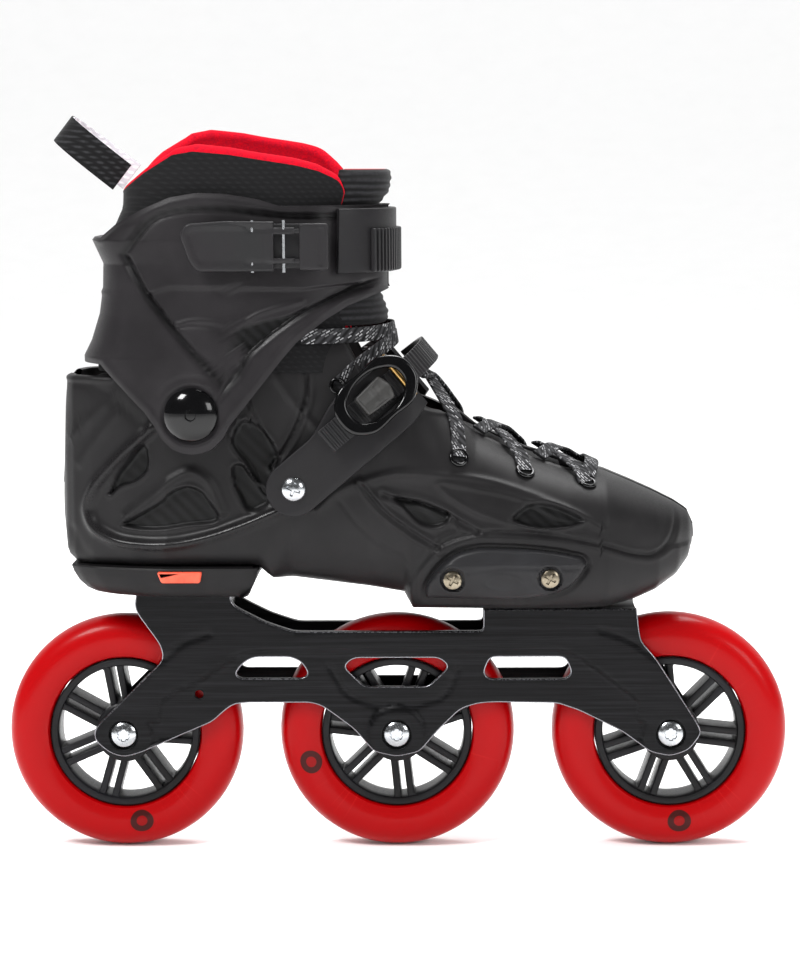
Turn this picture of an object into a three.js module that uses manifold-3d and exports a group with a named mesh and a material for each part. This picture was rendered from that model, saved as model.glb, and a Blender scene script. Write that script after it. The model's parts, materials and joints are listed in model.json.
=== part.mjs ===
// A right inline skate with three wheels: hard boot shell, hinged cuff with a quick-release buckle,
// ratchet strap over the instep, soft liner, one-piece extruded frame and three wheels on bearings.
// Millimetres, +Z up, +X to the toe, -Y to the outer (lateral) side. The origin is on the ground
// under the middle axle.
import * as THREE from 'three';
import { mergeVertices } from 'three/addons/utils/BufferGeometryUtils.js';
import Module from 'manifold-3d';

const wasm = await Module();
wasm.setup();

// ---------------------------------------------------------------- driving dimensions
const WHEEL_DIAMETER = 110;
const WHEEL_WIDTH = 24;
const WHEEL_BASE = 255; // front axle to rear axle
const HUB_DIAMETER = 70;
const HUB_WIDTH = 19;
const HUB_RIM = 3.5;
const SPOKE_PAIRS = 7;
const BEARING_OUTER = 22; // 608 bearing
const BEARING_INNER = 8;
const BEARING_WIDTH = 7;
const SPACER_LENGTH = 10;
const SPACER_DIAMETER = 11;
const AXLE_HEAD_DIAMETER = 12.6;

const FRAME_WIDTH = 35; // over both side plates
const FRAME_WALL = 4.5;
const FRONT_MOUNT_TOP = 114; // height of the front boot platform
const REAR_MOUNT_TOP = 122; // height of the rear boot platform
const MOUNT_WEB = 9; // thickness of the web under a boot platform
const FRONT_BOLT_X = 74;
const REAR_BOLT_X = -96;
const MOUNT_BOLT_DIAMETER = 7.4;
const MOUNT_HEAD_DIAMETER = 13;
const MOUNT_HEAD_HEIGHT = 4;
const WASHER_DIAMETER = 17;
const WASHER_THICKNESS = 1.5;
const INSERT_DIAMETER = 18;
const INSERT_THICKNESS = 2;

const BOOT_WIDTH = 100; // widest, over the ball of the foot
const ANKLE_WIDTH = 85; // of the shell, between the cuff's pivots
const SHELL_WALL = 4;
const HEEL_BASE_HEIGHT = 13;
const HEEL_BASE_WIDTH = 76;
const LINER_GAP = 3.5; // padding of air between shell and liner
const LINER_WALL = 5.5;
const FOOTBED_THICKNESS = 4;
const THROAT_WIDTH = 34; // gap between the two lacing flaps

const PIVOT_X = -90.5; // cuff pivot
const PIVOT_Z = 208;
const PIVOT_BOLT_DIAMETER = 8;
const PIVOT_CAP_DIAMETER = 24.4;
const PIVOT_EAR_RADIUS = 18;
const CUFF_WALL = 3.5;
const CUFF_SPACE = 6.5; // from the shell to the cuff's wall, on each side
const CUFF_WIDTH = ANKLE_WIDTH + 2 * (CUFF_WALL + CUFF_SPACE); // over the pivots
const CUFF_FRONT_GAP = 32; // between the cuff's two front edges

const LEVER_BACK = -94.5; // free end of the cuff buckle's lever
const LEVER_PIN_X = -45;
const BAIL_PIN_X = -62;
const BUCKLE_Z = [272, 294.5]; // lower and upper edge of the cuff buckle
const BUCKLE_THICKNESS = 3;
const CUFF_STRAP_Z = [270.5, 299.5];
const CUFF_STRAP_THICKNESS = 3;
const CUFF_STRAP_END = -24; // lateral end of the strap
const CUFF_STRAP_ROOT = -38; // back end of its anchor on the medial side

const STRAP_SCREW_X = -45; // screws of the strap over the instep
const STRAP_SCREW_Z = 174;
const STRAP_ANGLE = 40; // degrees above the horizontal
const STRAP_SPAN = Math.max(ANKLE_WIDTH + 10, BOOT_WIDTH - 5); // between the straps' inner faces
const STRAP_CREST = 81; // from the screws to the inner face over the instep
const STRAP_THICKNESS = 2.6;
const STRAP_SCREW_DIAMETER = 11;
const LADDER_WIDTH = 12;
const LADDER_THICKNESS = 2;
const RATCHET_TILT = 18; // degrees that the ratchet leans in over the instep

const CLEARANCE = 0.4; // between pieces that touch
const RUNNING = 0.3; // round a shaft, radially

// ---------------------------------------------------------------- derived places
const AXLE_Z = WHEEL_DIAMETER / 2;
const AXLES = { rear: -WHEEL_BASE / 2, middle: 0, front: WHEEL_BASE / 2 };
const PLATE = FRAME_WIDTH / 2;
const CHANNEL = PLATE - FRAME_WALL;
const WHEEL_ROOM = WHEEL_DIAMETER / 2 + 3;
const FRONT_SOLE = FRONT_MOUNT_TOP + CLEARANCE;
const HEEL_SOLE = REAR_MOUNT_TOP + CLEARANCE;
const SHELL_HEEL = HEEL_SOLE + HEEL_BASE_HEIGHT + CLEARANCE;

// ---------------------------------------------------------------- materials
const paint = (colour, roughness, metalness = 0) =>
  new THREE.MeshStandardMaterial({ color: colour, roughness, metalness });
const black = paint('#1b1b1c', 0.5);
const satinBlack = paint('#232324', 0.42);
const glossBlack = paint('#0c0c0d', 0.15);
const anodised = paint('#141416', 0.35, 0.8);
const steel = paint('#c4c6c8', 0.25, 1);
const greyMetal = paint('#7d7f80', 0.4, 1);
const urethane = paint('#e3170f', 0.3);
const cushionRed = paint('#e8401c', 0.5);
const cloth = paint('#1d1d1e', 0.9);
const fleece = paint('#c3132a', 0.95);

// ---------------------------------------------------------------- solids and meshes
const toSolid = (geometry) => {
  const bare = geometry.index ? geometry.toNonIndexed() : geometry.clone();
  bare.deleteAttribute('normal');
  bare.deleteAttribute('uv');
  const merged = mergeVertices(bare, 1e-3);
  return new wasm.Manifold(new wasm.Mesh({
    numProp: 3,
    vertProperties: new Float32Array(merged.attributes.position.array),
    triVerts: new Uint32Array(merged.index.array),
  }));
};

const toGeometry = (solid) => {
  const made = solid.getMesh();
  const geometry = new THREE.BufferGeometry();
  geometry.setAttribute('position', new THREE.BufferAttribute(new Float32Array(made.vertProperties), 3));
  geometry.setIndex(new THREE.BufferAttribute(new Uint32Array(made.triVerts), 1));
  return geometry;
};

const piece = (name, solid, material) => {
  const mesh = new THREE.Mesh(toGeometry(solid), material);
  mesh.name = name;
  return mesh;
};

// ---------------------------------------------------------------- basic shapes
const outline = (points) => new THREE.Shape(points.map(([x, y]) => new THREE.Vector2(x, y)));

// An outline in X and Z, carried along Y from y0 to y1.
const sidePrism = (points, y0, y1) => {
  const geometry = new THREE.ExtrudeGeometry(outline(points), { depth: y1 - y0, bevelEnabled: false });
  return toSolid(geometry.rotateX(Math.PI / 2).translate(0, y1, 0));
};

// An outline in X and Y, carried up from z0 to z1.
const planPrism = (points, z0, z1) => {
  const geometry = new THREE.ExtrudeGeometry(outline(points), { depth: z1 - z0, bevelEnabled: false });
  return toSolid(geometry.translate(0, 0, z0));
};

const block = (x0, x1, y0, y1, z0, z1) => {
  const box = new THREE.BoxGeometry(x1 - x0, y1 - y0, z1 - z0);
  return toSolid(box.translate((x0 + x1) / 2, (y0 + y1) / 2, (z0 + z1) / 2));
};

// A round bar along Y at (x, z), and one along Z at (x, y).
const barY = (radius, y0, y1, x = 0, z = 0, sides = 20) => {
  const bar = new THREE.CylinderGeometry(radius, radius, y1 - y0, sides);
  return toSolid(bar.translate(x, (y0 + y1) / 2, z));
};
const barZ = (radius, z0, z1, x = 0, y = 0, sides = 20) => {
  const bar = new THREE.CylinderGeometry(radius, radius, z1 - z0, sides).rotateX(Math.PI / 2);
  return toSolid(bar.translate(x, y, (z0 + z1) / 2));
};

// A profile of [radius, place along Y], turned about Y; it starts and ends on the axis.
const turned = (profile, sides = 20) => {
  const points = profile.map(([r, y]) => new THREE.Vector2(r, y));
  return toSolid(new THREE.LatheGeometry(points, sides));
};

// A ring turned about Y from a closed profile.
const ring = (inner, outer, y0, y1) =>
  turned([[inner, y0], [outer, y0], [outer, y1], [inner, y1], [inner, y0]], 14);

// A skin over a row of closed rings with the same number of points, closed at both ends.
const loft = (rings) => {
  const count = rings[0].length;
  const corners = [];
  const quad = (a, b, c, d) => corners.push(a, b, c, a, c, d);
  for (let i = 0; i + 1 < rings.length; i++) {
    for (let j = 0; j < count; j++) {
      const k = (j + 1) % count;
      quad(rings[i][j], rings[i][k], rings[i + 1][k], rings[i + 1][j]);
    }
  }
  const cap = (points, turn) => {
    const middle = points.reduce((sum, p) => sum.add(p), new THREE.Vector3()).divideScalar(count);
    for (let j = 0; j < count; j++) {
      const k = (j + 1) % count;
      corners.push(middle, ...(turn ? [points[k], points[j]] : [points[j], points[k]]));
    }
  };
  cap(rings[0], true);
  cap(rings.at(-1), false);
  return toSolid(new THREE.BufferGeometry().setFromPoints(corners));
};

const power = (value, exponent) => Math.sign(value) * Math.abs(value) ** exponent;

// ---------------------------------------------------------------- wheels
const hubRadius = HUB_DIAMETER / 2;

const makeTyre = () => {
  const crownRadius = 11; // radial height of the rounded tread
  const seat = hubRadius + CLEARANCE;
  const shoulder = WHEEL_WIDTH / 2 - 2.5;
  const steps = 6;
  const profile = [[seat, -shoulder]];
  for (let i = 0; i <= steps; i++) {
    const a = (Math.PI * i) / steps;
    const r = WHEEL_DIAMETER / 2 - crownRadius * (1 - Math.sin(a));
    profile.push([r, -(WHEEL_WIDTH / 2) * Math.cos(a)]);
  }
  profile.push([seat, shoulder], [seat, -shoulder]);
  return turned(profile, 28);
};

// A window between two radii and two angles, cut through the hub.
const hubWindow = (r0, r1, a0, a1) => {
  const at = (r, a) => [r * Math.cos(a), r * Math.sin(a)];
  const middle = (a0 + a1) / 2;
  const points = [at(r0, a0), at(r1, a0), at(r1 * 1.01, middle), at(r1, a1), at(r0, a1)];
  return sidePrism(points, -WHEEL_WIDTH, WHEEL_WIDTH);
};

const makeHub = () => {
  const bearingSeat = BEARING_OUTER / 2 + CLEARANCE;
  const boss = bearingSeat + 3;
  const bossHalf = SPACER_LENGTH / 2 + BEARING_WIDTH - CLEARANCE;
  let hub = barY(hubRadius, -HUB_WIDTH / 2, HUB_WIDTH / 2, 0, 0, 28)
    .add(barY(boss, -bossHalf, bossHalf, 0, 0, 14));
  const pitch = (2 * Math.PI) / SPOKE_PAIRS;
  for (let i = 0; i < SPOKE_PAIRS; i++) {
    const a = pitch * i;
    hub = hub.subtract(hubWindow(boss + 2, hubRadius - HUB_RIM, a + 0.27, a + pitch - 0.27));
  }
  hub = hub.subtract(barY(BEARING_OUTER / 2 - 2, -WHEEL_WIDTH, WHEEL_WIDTH, 0, 0, 14));
  for (const side of [-1, 1]) {
    const inner = (SPACER_LENGTH / 2) * side;
    const outer = WHEEL_WIDTH * side;
    hub = hub.subtract(barY(bearingSeat, Math.min(inner, outer), Math.max(inner, outer), 0, 0, 16));
  }
  return hub;
};

const makeAxle = () => {
  const r = BEARING_INNER / 2 - RUNNING;
  const head = AXLE_HEAD_DIAMETER / 2;
  const seat = -PLATE + 2;
  const axle = turned([
    [0, seat - 3.8], [head - 2, seat - 3.6], [head - 0.4, seat - 2.4], [head, seat],
    [r, seat], [r, PLATE], [0, PLATE],
  ], 14);
  return axle.subtract(barY(2.4, seat - 6, seat - 1, 0, 0, 6));
};

const makeWheel = (where, x) => {
  const wheel = new THREE.Group();
  wheel.position.set(x, 0, AXLE_Z);
  const bearingAt = SPACER_LENGTH / 2 + CLEARANCE;
  const bearing = ring(BEARING_INNER / 2, BEARING_OUTER / 2, 0, BEARING_WIDTH - CLEARANCE);
  const spacer = ring(BEARING_INNER / 2, SPACER_DIAMETER / 2, -SPACER_LENGTH / 2, SPACER_LENGTH / 2);
  const lateral = piece(`${where}_bearing_lateral`, bearing, steel);
  lateral.position.y = -bearingAt - BEARING_WIDTH + CLEARANCE;
  const medial = piece(`${where}_bearing_medial`, bearing, steel);
  medial.position.y = bearingAt;
  wheel.add(
    piece(`${where}_tyre`, makeTyre(), urethane),
    piece(`${where}_hub`, makeHub(), satinBlack),
    piece(`${where}_spacer`, spacer, steel),
    piece(`${where}_axle`, makeAxle(), steel),
    lateral,
    medial,
  );
  return wheel;
};

// ---------------------------------------------------------------- frame
// Side view of the frame, from the rear platform round to its start.
const frameOutline = () => {
  const [rear, front, z] = [AXLES.rear, AXLES.front, AXLE_Z];
  const boss = 10.5; // the plate under each axle
  const under = (x, half, rise) => [
    [x - half, z - rise], [x - 7, z - boss + 1], [x, z - boss], [x + 7, z - boss + 1], [x + half, z - rise],
  ];
  return [
    [rear + 7, REAR_MOUNT_TOP], [rear + 6, 116], [rear + 7.5, 112], [rear + 17.5, 98], [rear + 19, 93],
    [rear + 18, 89.5], [rear - 13, z + 3.8], [rear - 14, z], ...under(rear, 12, 5),
    [rear + 31.5, 56.5], [rear + 41.5, 61], [rear + 51.5, 69.3], [-70, 70], [-40, 70], [-30, 65],
    ...under(0, 20, -2.5), [30, 66], [38, 69.5], [75, 69.5], [front - 42, 66], [front - 32, 61],
    [front - 22, 56], ...under(front, 12, 5), [front + 14.5, z], [front + 12.5, z + 5],
    [front - 6.5, 90], [front - 14, 99], [front - 15.5, 107], [front - 16, FRONT_MOUNT_TOP],
    [40.5, FRONT_MOUNT_TOP], [39, 103.7], [-46, 103.7], [-50, 104.7], [-60, 108], [-74, 115.5],
    [-76.5, REAR_MOUNT_TOP],
  ];
};

const makeFrame = () => {
  let frame = sidePrism(frameOutline(), -PLATE, PLATE);
  const rearWeb = REAR_MOUNT_TOP - MOUNT_WEB;
  const frontWeb = FRONT_MOUNT_TOP - MOUNT_WEB;
  const channel = [[-170, 0], [170, 0], [170, frontWeb], [48, frontWeb], [42, 97], [-48, 97], [-66, rearWeb],
    [-170, rearWeb]];
  frame = frame.subtract(sidePrism(channel, -CHANNEL, CHANNEL));
  const windows = [
    [[-73, 81.5], [-43, 81.5], [-41, 84], [-49, 91.5], [-66, 91.5], [-75, 84]],
    [[-15, 77.5], [15, 77.5], [24.5, 87], [20, 91], [-20, 91], [-24.5, 87]],
    [[45, 81], [78, 81], [81.5, 84], [72, 91.3], [52, 91.3], [40.5, 83.5]],
  ];
  for (const points of windows) frame = frame.subtract(sidePrism(points, -PLATE - 1, PLATE + 1));
  frame = frame.subtract(barY(2, -PLATE - 1, PLATE + 1, -92, 74, 12));
  for (const x of Object.values(AXLES)) {
    frame = frame.subtract(barY(WHEEL_ROOM, -CHANNEL, CHANNEL, x, AXLE_Z, 36));
    frame = frame.subtract(barY(BEARING_INNER / 2, -PLATE - 1, PLATE + 1, x, AXLE_Z, 14));
    const counterbore = AXLE_HEAD_DIAMETER / 2 + CLEARANCE + 0.3;
    frame = frame.subtract(barY(counterbore, -PLATE - 1, -PLATE + 2 + CLEARANCE, x, AXLE_Z, 16));
  }
  for (const x of [FRONT_BOLT_X, REAR_BOLT_X]) {
    frame = frame.subtract(barZ(MOUNT_BOLT_DIAMETER / 2 + RUNNING, 90, 130, x, 0, 16));
  }
  return frame;
};

// A boot bolt with its washer and the threaded insert it pulls on, between the web and the boot floor.
const makeMounting = (where, x, web, floor) => {
  const shaft = MOUNT_BOLT_DIAMETER / 2;
  const head = web - WASHER_THICKNESS - 2 * CLEARANCE;
  const nut = floor + CLEARANCE;
  const socket = barZ(2.6, head - MOUNT_HEAD_HEIGHT - 1, head - MOUNT_HEAD_HEIGHT + 2, x, 0, 6);
  const bolt = barZ(MOUNT_HEAD_DIAMETER / 2, head - MOUNT_HEAD_HEIGHT, head, x, 0)
    .add(barZ(shaft, head - 1, nut + INSERT_THICKNESS, x, 0, 16))
    .subtract(socket);
  const washer = barZ(WASHER_DIAMETER / 2, web - CLEARANCE - WASHER_THICKNESS, web - CLEARANCE, x, 0)
    .subtract(barZ(shaft + RUNNING, web - 10, web + 10, x, 0, 16));
  const insert = barZ(INSERT_DIAMETER / 2, nut, nut + INSERT_THICKNESS, x, 0)
    .subtract(barZ(shaft + RUNNING, nut - 1, nut + INSERT_THICKNESS + 1, x, 0, 16));
  return [
    piece(`${where}_mount_bolt`, bolt, steel),
    piece(`${where}_mount_washer`, washer, steel),
    piece(`${where}_mount_insert`, insert, steel),
  ];
};

// ---------------------------------------------------------------- boot shell and what follows its shape
const BALL = BOOT_WIDTH / 2;
const ANKLE = ANKLE_WIDTH / 2;

// Cross-sections from heel to toe: [x, half width, underside, top, shift towards the medial side].
const STATIONS = [
  [-155, 3, 158, 172, 0], [-151.5, ANKLE - 21.5, 141, 225, 0], [-147, ANKLE - 15.5, SHELL_HEEL + 1.5, 270, 0],
  [-138, ANKLE - 9.5, SHELL_HEEL, 300, 0], [-120, ANKLE - 3.5, SHELL_HEEL, 300, 0],
  [-104, ANKLE, SHELL_HEEL, 300, 0], [-62, ANKLE, SHELL_HEEL, 300, 0], [-56, ANKLE, 130, 300, 0],
  [-12, ANKLE - 0.5, 124.5, 262, 0], [4, BALL - 6, 122, 233, 0.5], [8, BALL - 5.5, FRONT_SOLE, 228, 0.5],
  [20, BALL - 4, FRONT_SOLE, 213, 1], [37, BALL - 2, FRONT_SOLE, 198.5, 1.5],
  [60, BALL, FRONT_SOLE, 187.5, 2], [80, BALL, FRONT_SOLE, 181, 3], [97, BALL - 3, FRONT_SOLE + 0.5, 177, 4],
  [110, BALL - 9, 118, 171.5, 5], [120, BALL - 15, 122, 167, 5.5], [130, BALL - 24.5, 128.5, 162, 6],
  [136, BALL - 34.5, 136, 158, 6], [139, 4, 145, 151, 6],
];
const HEEL_X = STATIONS[0][0];
const TOE_X = STATIONS.at(-1)[0];

// The boot's own shape, drawn in by an inset all round (or out, where it is negative).
const shrink = (half, inset) => Math.max(0.8, half - (inset * half) / (half + 8));
const BOOT_SIDES = 14;
const SOLE_POWER = 3.6;
const UPPER_POWER = 2.5;

// Height of the shell's inner floor where its section runs from low to high.
const innerFloor = (low, high) => {
  const flat = Math.cos(Math.PI / BOOT_SIDES) ** (2 / SOLE_POWER);
  return (low + high) / 2 - shrink((high - low) / 2, SHELL_WALL) * flat;
};

const bootShape = (inset, sides = BOOT_SIDES) => {
  const middle = (HEEL_X + TOE_X) / 2;
  const reach = (TOE_X - HEEL_X) / 2;
  return loft(STATIONS.map(([x, wide, low, high, shift]) => {
    const y = shrink(wide, inset);
    const z = shrink((high - low) / 2, inset);
    return Array.from({ length: sides }, (_, j) => {
      const a = (2 * Math.PI * j) / sides;
      const exponent = 2 / (Math.sin(a) < 0 ? SOLE_POWER : UPPER_POWER);
      return new THREE.Vector3(
        middle + ((x - middle) * (reach - inset)) / reach,
        shift + y * power(Math.cos(a), exponent),
        (low + high) / 2 + z * power(Math.sin(a), exponent),
      );
    });
  }));
};

// How far the boot's side stands from the middle plane at (x, z), drawn in by an inset.
const bootFace = (x, z, side, inset) => {
  const after = STATIONS.findIndex(([at]) => at > x);
  const [a, b] = [STATIONS[after - 1], STATIONS[after]];
  const between = (value, i) => THREE.MathUtils.mapLinear(x, a[0], b[0], value, b[i]);
  const [, wide, low, high, shift] = a.map(between);
  const rise = (z - (low + high) / 2) / shrink((high - low) / 2, inset);
  const exponent = rise < 0 ? SOLE_POWER : UPPER_POWER;
  return Math.abs(shift + side * shrink(wide, inset) * (1 - Math.abs(rise) ** exponent) ** (1 / exponent));
};

// The shell's upper rim, from the heel tab over the ankle and down the lacing edge.
const RIM = [[-175, 224], [-128, 224], [-108, 243], [-60, 250], [-28, 253], [-14, 226], [11, 210], [40, 201]];

const EYELETS = [[-25, 220], [29.5, 187], [59.5, 179], [88, 172]];

const throat = (half) => {
  const end = 94;
  const points = [[-40, -half], [end - half, -half], [end - 5, -half * 0.7], [end, 0],
    [end - 5, half * 0.7], [end - half, half], [-40, half]];
  return planPrism(points, 150, 360);
};

const makeShell = () => {
  const above = sidePrism([...RIM, [40, 360], [-175, 360]], -80, 80);
  let shell = bootShape(0).subtract(bootShape(SHELL_WALL)).subtract(above).subtract(throat(THROAT_WIDTH / 2));
  shell = shell.subtract(barY(PIVOT_BOLT_DIAMETER / 2 + RUNNING, -80, 80, PIVOT_X, PIVOT_Z));
  shell = shell.subtract(barY(STRAP_SHAFT + RUNNING, -80, 80, STRAP_SCREW_X, STRAP_SCREW_Z, 12));
  for (const [x, z] of EYELETS) shell = shell.subtract(barY(3.4, -80, 80, x, z - 1, 6));
  for (const [x, z] of SLIDER_SCREWS) shell = shell.subtract(barY(SLIDER_SHAFT + RUNNING, -80, 80, x, z, 8));
  for (const x of [FRONT_BOLT_X, REAR_BOLT_X]) {
    shell = shell.subtract(barZ(MOUNT_BOLT_DIAMETER / 2 + RUNNING, 100, 150, x, 0, 16));
  }
  return shell;
};

const heelPlan = (half, back, front) => {
  const points = [[front, -half - 1.5], [front, half + 1.5]];
  const centre = back + half;
  for (let i = 0; i <= 12; i++) {
    const a = Math.PI / 2 + (Math.PI * i) / 12;
    points.push([centre + half * Math.cos(a), half * Math.sin(a)]);
  }
  return points;
};

const CUSHION = { x0: -108, x1: -87.5, height: 5, reach: HEEL_BASE_WIDTH / 2 + 0.6 };

const makeHeelBase = () => {
  const top = HEEL_SOLE + HEEL_BASE_HEIGHT;
  const room = CLEARANCE;
  return planPrism(heelPlan(HEEL_BASE_WIDTH / 2, -145, -60), HEEL_SOLE, top)
    .intersect(sidePrism([[-150, top + 1], [-145, top - 1], [-137, HEEL_SOLE], [-63, HEEL_SOLE],
      [-59, top - 5], [-62, top + 1]], -80, 80))
    .subtract(block(CUSHION.x0 - room, CUSHION.x1 + room, -60, 60, top - CUSHION.height - room, top + 5))
    .subtract(barZ(MOUNT_BOLT_DIAMETER / 2 + RUNNING, 100, 150, REAR_BOLT_X, 0, 16));
};

const makeHeelCushion = () => {
  const top = HEEL_SOLE + HEEL_BASE_HEIGHT;
  return block(CUSHION.x0, CUSHION.x1, -CUSHION.reach, CUSHION.reach, top - CUSHION.height, top)
    .subtract(barZ(MOUNT_BOLT_DIAMETER / 2 + RUNNING, 100, 150, REAR_BOLT_X, 0, 16));
};

// ---------------------------------------------------------------- slider plates
const SLIDER_SCREWS = [[26.5, 132], [70.5, 133]];
const SLIDER_SHAFT = 1.6;
const SLIDER_HEAD = 4.3;
const SLIDER_THICKNESS = 4.5;
const SLIDER_OUTLINE = [
  [13.5, 124.5], [17, 134], [22, 140], [28, 144.5], [36, 147], [50, 147.5], [65, 146.5], [80, 144],
  [86, 142], [87.5, 139.5], [85, 134], [78, 127], [72, 124.5], [60, 122.5], [40, 122], [20, 122.5],
];

const SLIDER_RECESS = 1.8; // depth of the recess round a screw head

const sliderSeat = (side, [x, z]) => bootFace(x, z, side, -SLIDER_THICKNESS) - SLIDER_RECESS;

const makeSlider = (side) => {
  const span = side < 0 ? [-80, -20] : [20, 80];
  let slider = sidePrism(SLIDER_OUTLINE, ...span)
    .intersect(bootShape(-SLIDER_THICKNESS)).subtract(bootShape(-CLEARANCE));
  for (const [x, z] of SLIDER_SCREWS) {
    const seat = sliderSeat(side, [x, z]);
    const outer = side < 0 ? [-80, -seat] : [seat, 80];
    slider = slider.subtract(barY(SLIDER_SHAFT + RUNNING, -80, 80, x, z, 10));
    slider = slider.subtract(barY(SLIDER_HEAD + RUNNING, ...outer, x, z, 18));
  }
  return slider;
};

const makeSliderScrew = (side, [x, z]) => {
  const seat = sliderSeat(side, [x, z]) + CLEARANCE;
  const screw = turned([[0, -seat - 2.2], [SLIDER_HEAD - 1.2, -seat - 2], [SLIDER_HEAD, -seat - 0.8],
    [SLIDER_HEAD, -seat], [SLIDER_SHAFT, -seat], [SLIDER_SHAFT, -seat + 5], [0, -seat + 5]], 14);
  const placed = side < 0 ? screw : toSolid(toGeometry(screw).rotateZ(Math.PI));
  return toSolid(toGeometry(placed).translate(x, 0, z));
};

// ---------------------------------------------------------------- cuff and what follows its shape
const CUFF_HALF = CUFF_WIDTH / 2;

// Level sections of the lower leg's sleeve: [z, back, front, half width].
const LEVELS = [
  [184, -141, 8, CUFF_HALF], [212, -142.5, 6, CUFF_HALF], [233, -143, 4, CUFF_HALF - 1],
  [240, -139.5, 3, CUFF_HALF - 1.5], [252, -135.7, 2, CUFF_HALF - 2.3], [264, -134, -2.5, CUFF_HALF - 3.2],
  [275, -133.7, -2.5, CUFF_HALF - 3.9], [285.7, -138.6, -2.5, CUFF_HALF - 4.3],
  [292, -134, -2.5, CUFF_HALF - 4.7], [300, -130, -2.5, CUFF_HALF - 5.5], [307, -129, 3, CUFF_HALF - 7],
  [320, -127, 5, CUFF_HALF - 8.5], [338, -125, 5, CUFF_HALF - 10],
];

const sleeve = (grow, sides = 20) => loft(LEVELS.map(([z, back, front, half]) => {
  const centre = (back + front) / 2;
  const reach = (front - back) / 2 + grow;
  return Array.from({ length: sides }, (_, j) => {
    const a = (2 * Math.PI * (j + 0.5)) / sides;
    const exponent = Math.cos(a) < 0 ? 2 / 3.4 : 2 / 2.5;
    return new THREE.Vector3(
      centre + reach * power(Math.cos(a), exponent),
      (half + grow) * power(Math.sin(a), exponent),
      z,
    );
  });
}));

// Side view of the cuff: over the top, down the front edge, along the V to the ear and up the back.
const cuffOutline = () => {
  const ear = [];
  for (let i = 0; i <= 8; i++) {
    const a = THREE.MathUtils.degToRad(-15 - 150 * (i / 8));
    ear.push([PIVOT_X + PIVOT_EAR_RADIUS * Math.cos(a), PIVOT_Z + PIVOT_EAR_RADIUS * Math.sin(a)]);
  }
  return [
    [-160, 287], [-132.5, 287], [-125, 293], [-112, 300], [-100, 305], [-88, 307], [-75, 306.5], [-60, 304],
    [-50, 301], [20, 301], [20, 264], [0, 263.5], [-20, 256], [-30, 250], [-43, 240], [-50, 232], [-62, 217],
    ...ear, [-112, 209], [-120, 217], [-133, 230], [-160, 231],
  ];
};

const makeCuff = () => sleeve(0).subtract(sleeve(-CUFF_WALL))
  .intersect(sidePrism(cuffOutline(), -80, 80))
  .subtract(block(-30, 30, -CUFF_FRONT_GAP / 2, CUFF_FRONT_GAP / 2, 180, 340))
  .subtract(barY(PIVOT_BOLT_DIAMETER / 2 + RUNNING, -80, 80, PIVOT_X, PIVOT_Z))
  .subtract(anchorHole());

// The cuff's pivot: a domed cap bolt outside and a flat nut inside the shell.
const makePivot = (side, name) => {
  const shaft = PIVOT_BOLT_DIAMETER / 2;
  const cap = PIVOT_CAP_DIAMETER / 2;
  const seat = CUFF_HALF + CLEARANCE;
  const inside = shrink(ANKLE, SHELL_WALL);
  const end = -inside + 2.4;
  const bolt = turned([[0, -seat - 5], [cap * 0.55, -seat - 4.4], [cap * 0.88, -seat - 2.6], [cap, -seat],
    [shaft, -seat], [shaft, end], [0, end]], 18).subtract(barY(2.6, -seat - 8, -seat - 2, 0, 0, 6));
  const nut = ring(shaft + RUNNING, 8, -inside + 2 * CLEARANCE, -inside + 2 * CLEARANCE + 2);
  const meshes = [piece(`pivot_bolt_${name}`, bolt, glossBlack), piece(`pivot_nut_${name}`, nut, steel)];
  for (const mesh of meshes) {
    mesh.position.set(PIVOT_X, 0, PIVOT_Z);
    mesh.rotation.z = side < 0 ? 0 : Math.PI;
  }
  return meshes;
};

// ---------------------------------------------------------------- cuff buckle and strap
const BUCKLE_FACE = CUFF_HALF + 3.6; // outer face of the closed lever
const BUCKLE_BACK = BUCKLE_FACE - BUCKLE_THICKNESS;
const PIN_Y = -(BUCKLE_FACE + BUCKLE_BACK) / 2;
const [BUCKLE_LOW, BUCKLE_HIGH] = BUCKLE_Z;
const SLOTS = [BUCKLE_LOW + 4.4, BUCKLE_HIGH - 4.4]; // middle heights of the lever's two slots
const ARM = 2.2; // thickness of the bail's two arms
const STRAP_STANDOFF = CLEARANCE + 0.2; // from the cuff to its strap
const CUFF_LADDER = { thickness: 1.8, end: -9, z: [271, 290.5] };

const makeBuckleBase = () => {
  const y = -BUCKLE_BACK + CLEARANCE + 1.4;
  return block(-68, -30, y, -30, BUCKLE_LOW + 1, BUCKLE_HIGH - 1).subtract(sleeve(CLEARANCE));
};

const makeBuckleLever = () => {
  const [low, high] = [BUCKLE_LOW, BUCKLE_HIGH];
  let lever = sidePrism([[LEVER_BACK + 3, high - 1.5], [LEVER_BACK, high - 5.5], [LEVER_BACK + 5, low + 3],
    [LEVER_BACK + 8.5, low], [LEVER_PIN_X + 2.3, low], [LEVER_PIN_X + 2.3, high], [-75, high]],
  -BUCKLE_FACE, -BUCKLE_BACK);
  for (const z of SLOTS) {
    const half = ARM / 2 + RUNNING;
    lever = lever.subtract(block(BAIL_PIN_X - 2.6, 0, -80, 0, z - half, z + half));
  }
  return lever;
};

const makeBuckleBail = () => {
  const [y0, y1] = [-BUCKLE_FACE + 0.3, -BUCKLE_BACK - 0.3];
  let bail = block(-41, -28, -BUCKLE_FACE, -BUCKLE_BACK, BUCKLE_LOW + 0.5, BUCKLE_HIGH - 0.5);
  for (const z of SLOTS) bail = bail.add(block(BAIL_PIN_X - 1.8, -40, y0, y1, z - ARM / 2, z + ARM / 2));
  return bail;
};

// What lies in front of two vertical cuts, one on the outer side and one on the inner side.
const frontOf = (lateral, medial, z0, z1) =>
  block(lateral, 40, -80, 0.5, z0, z1).add(block(medial, 40, 0, 80, z0, z1));

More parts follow.
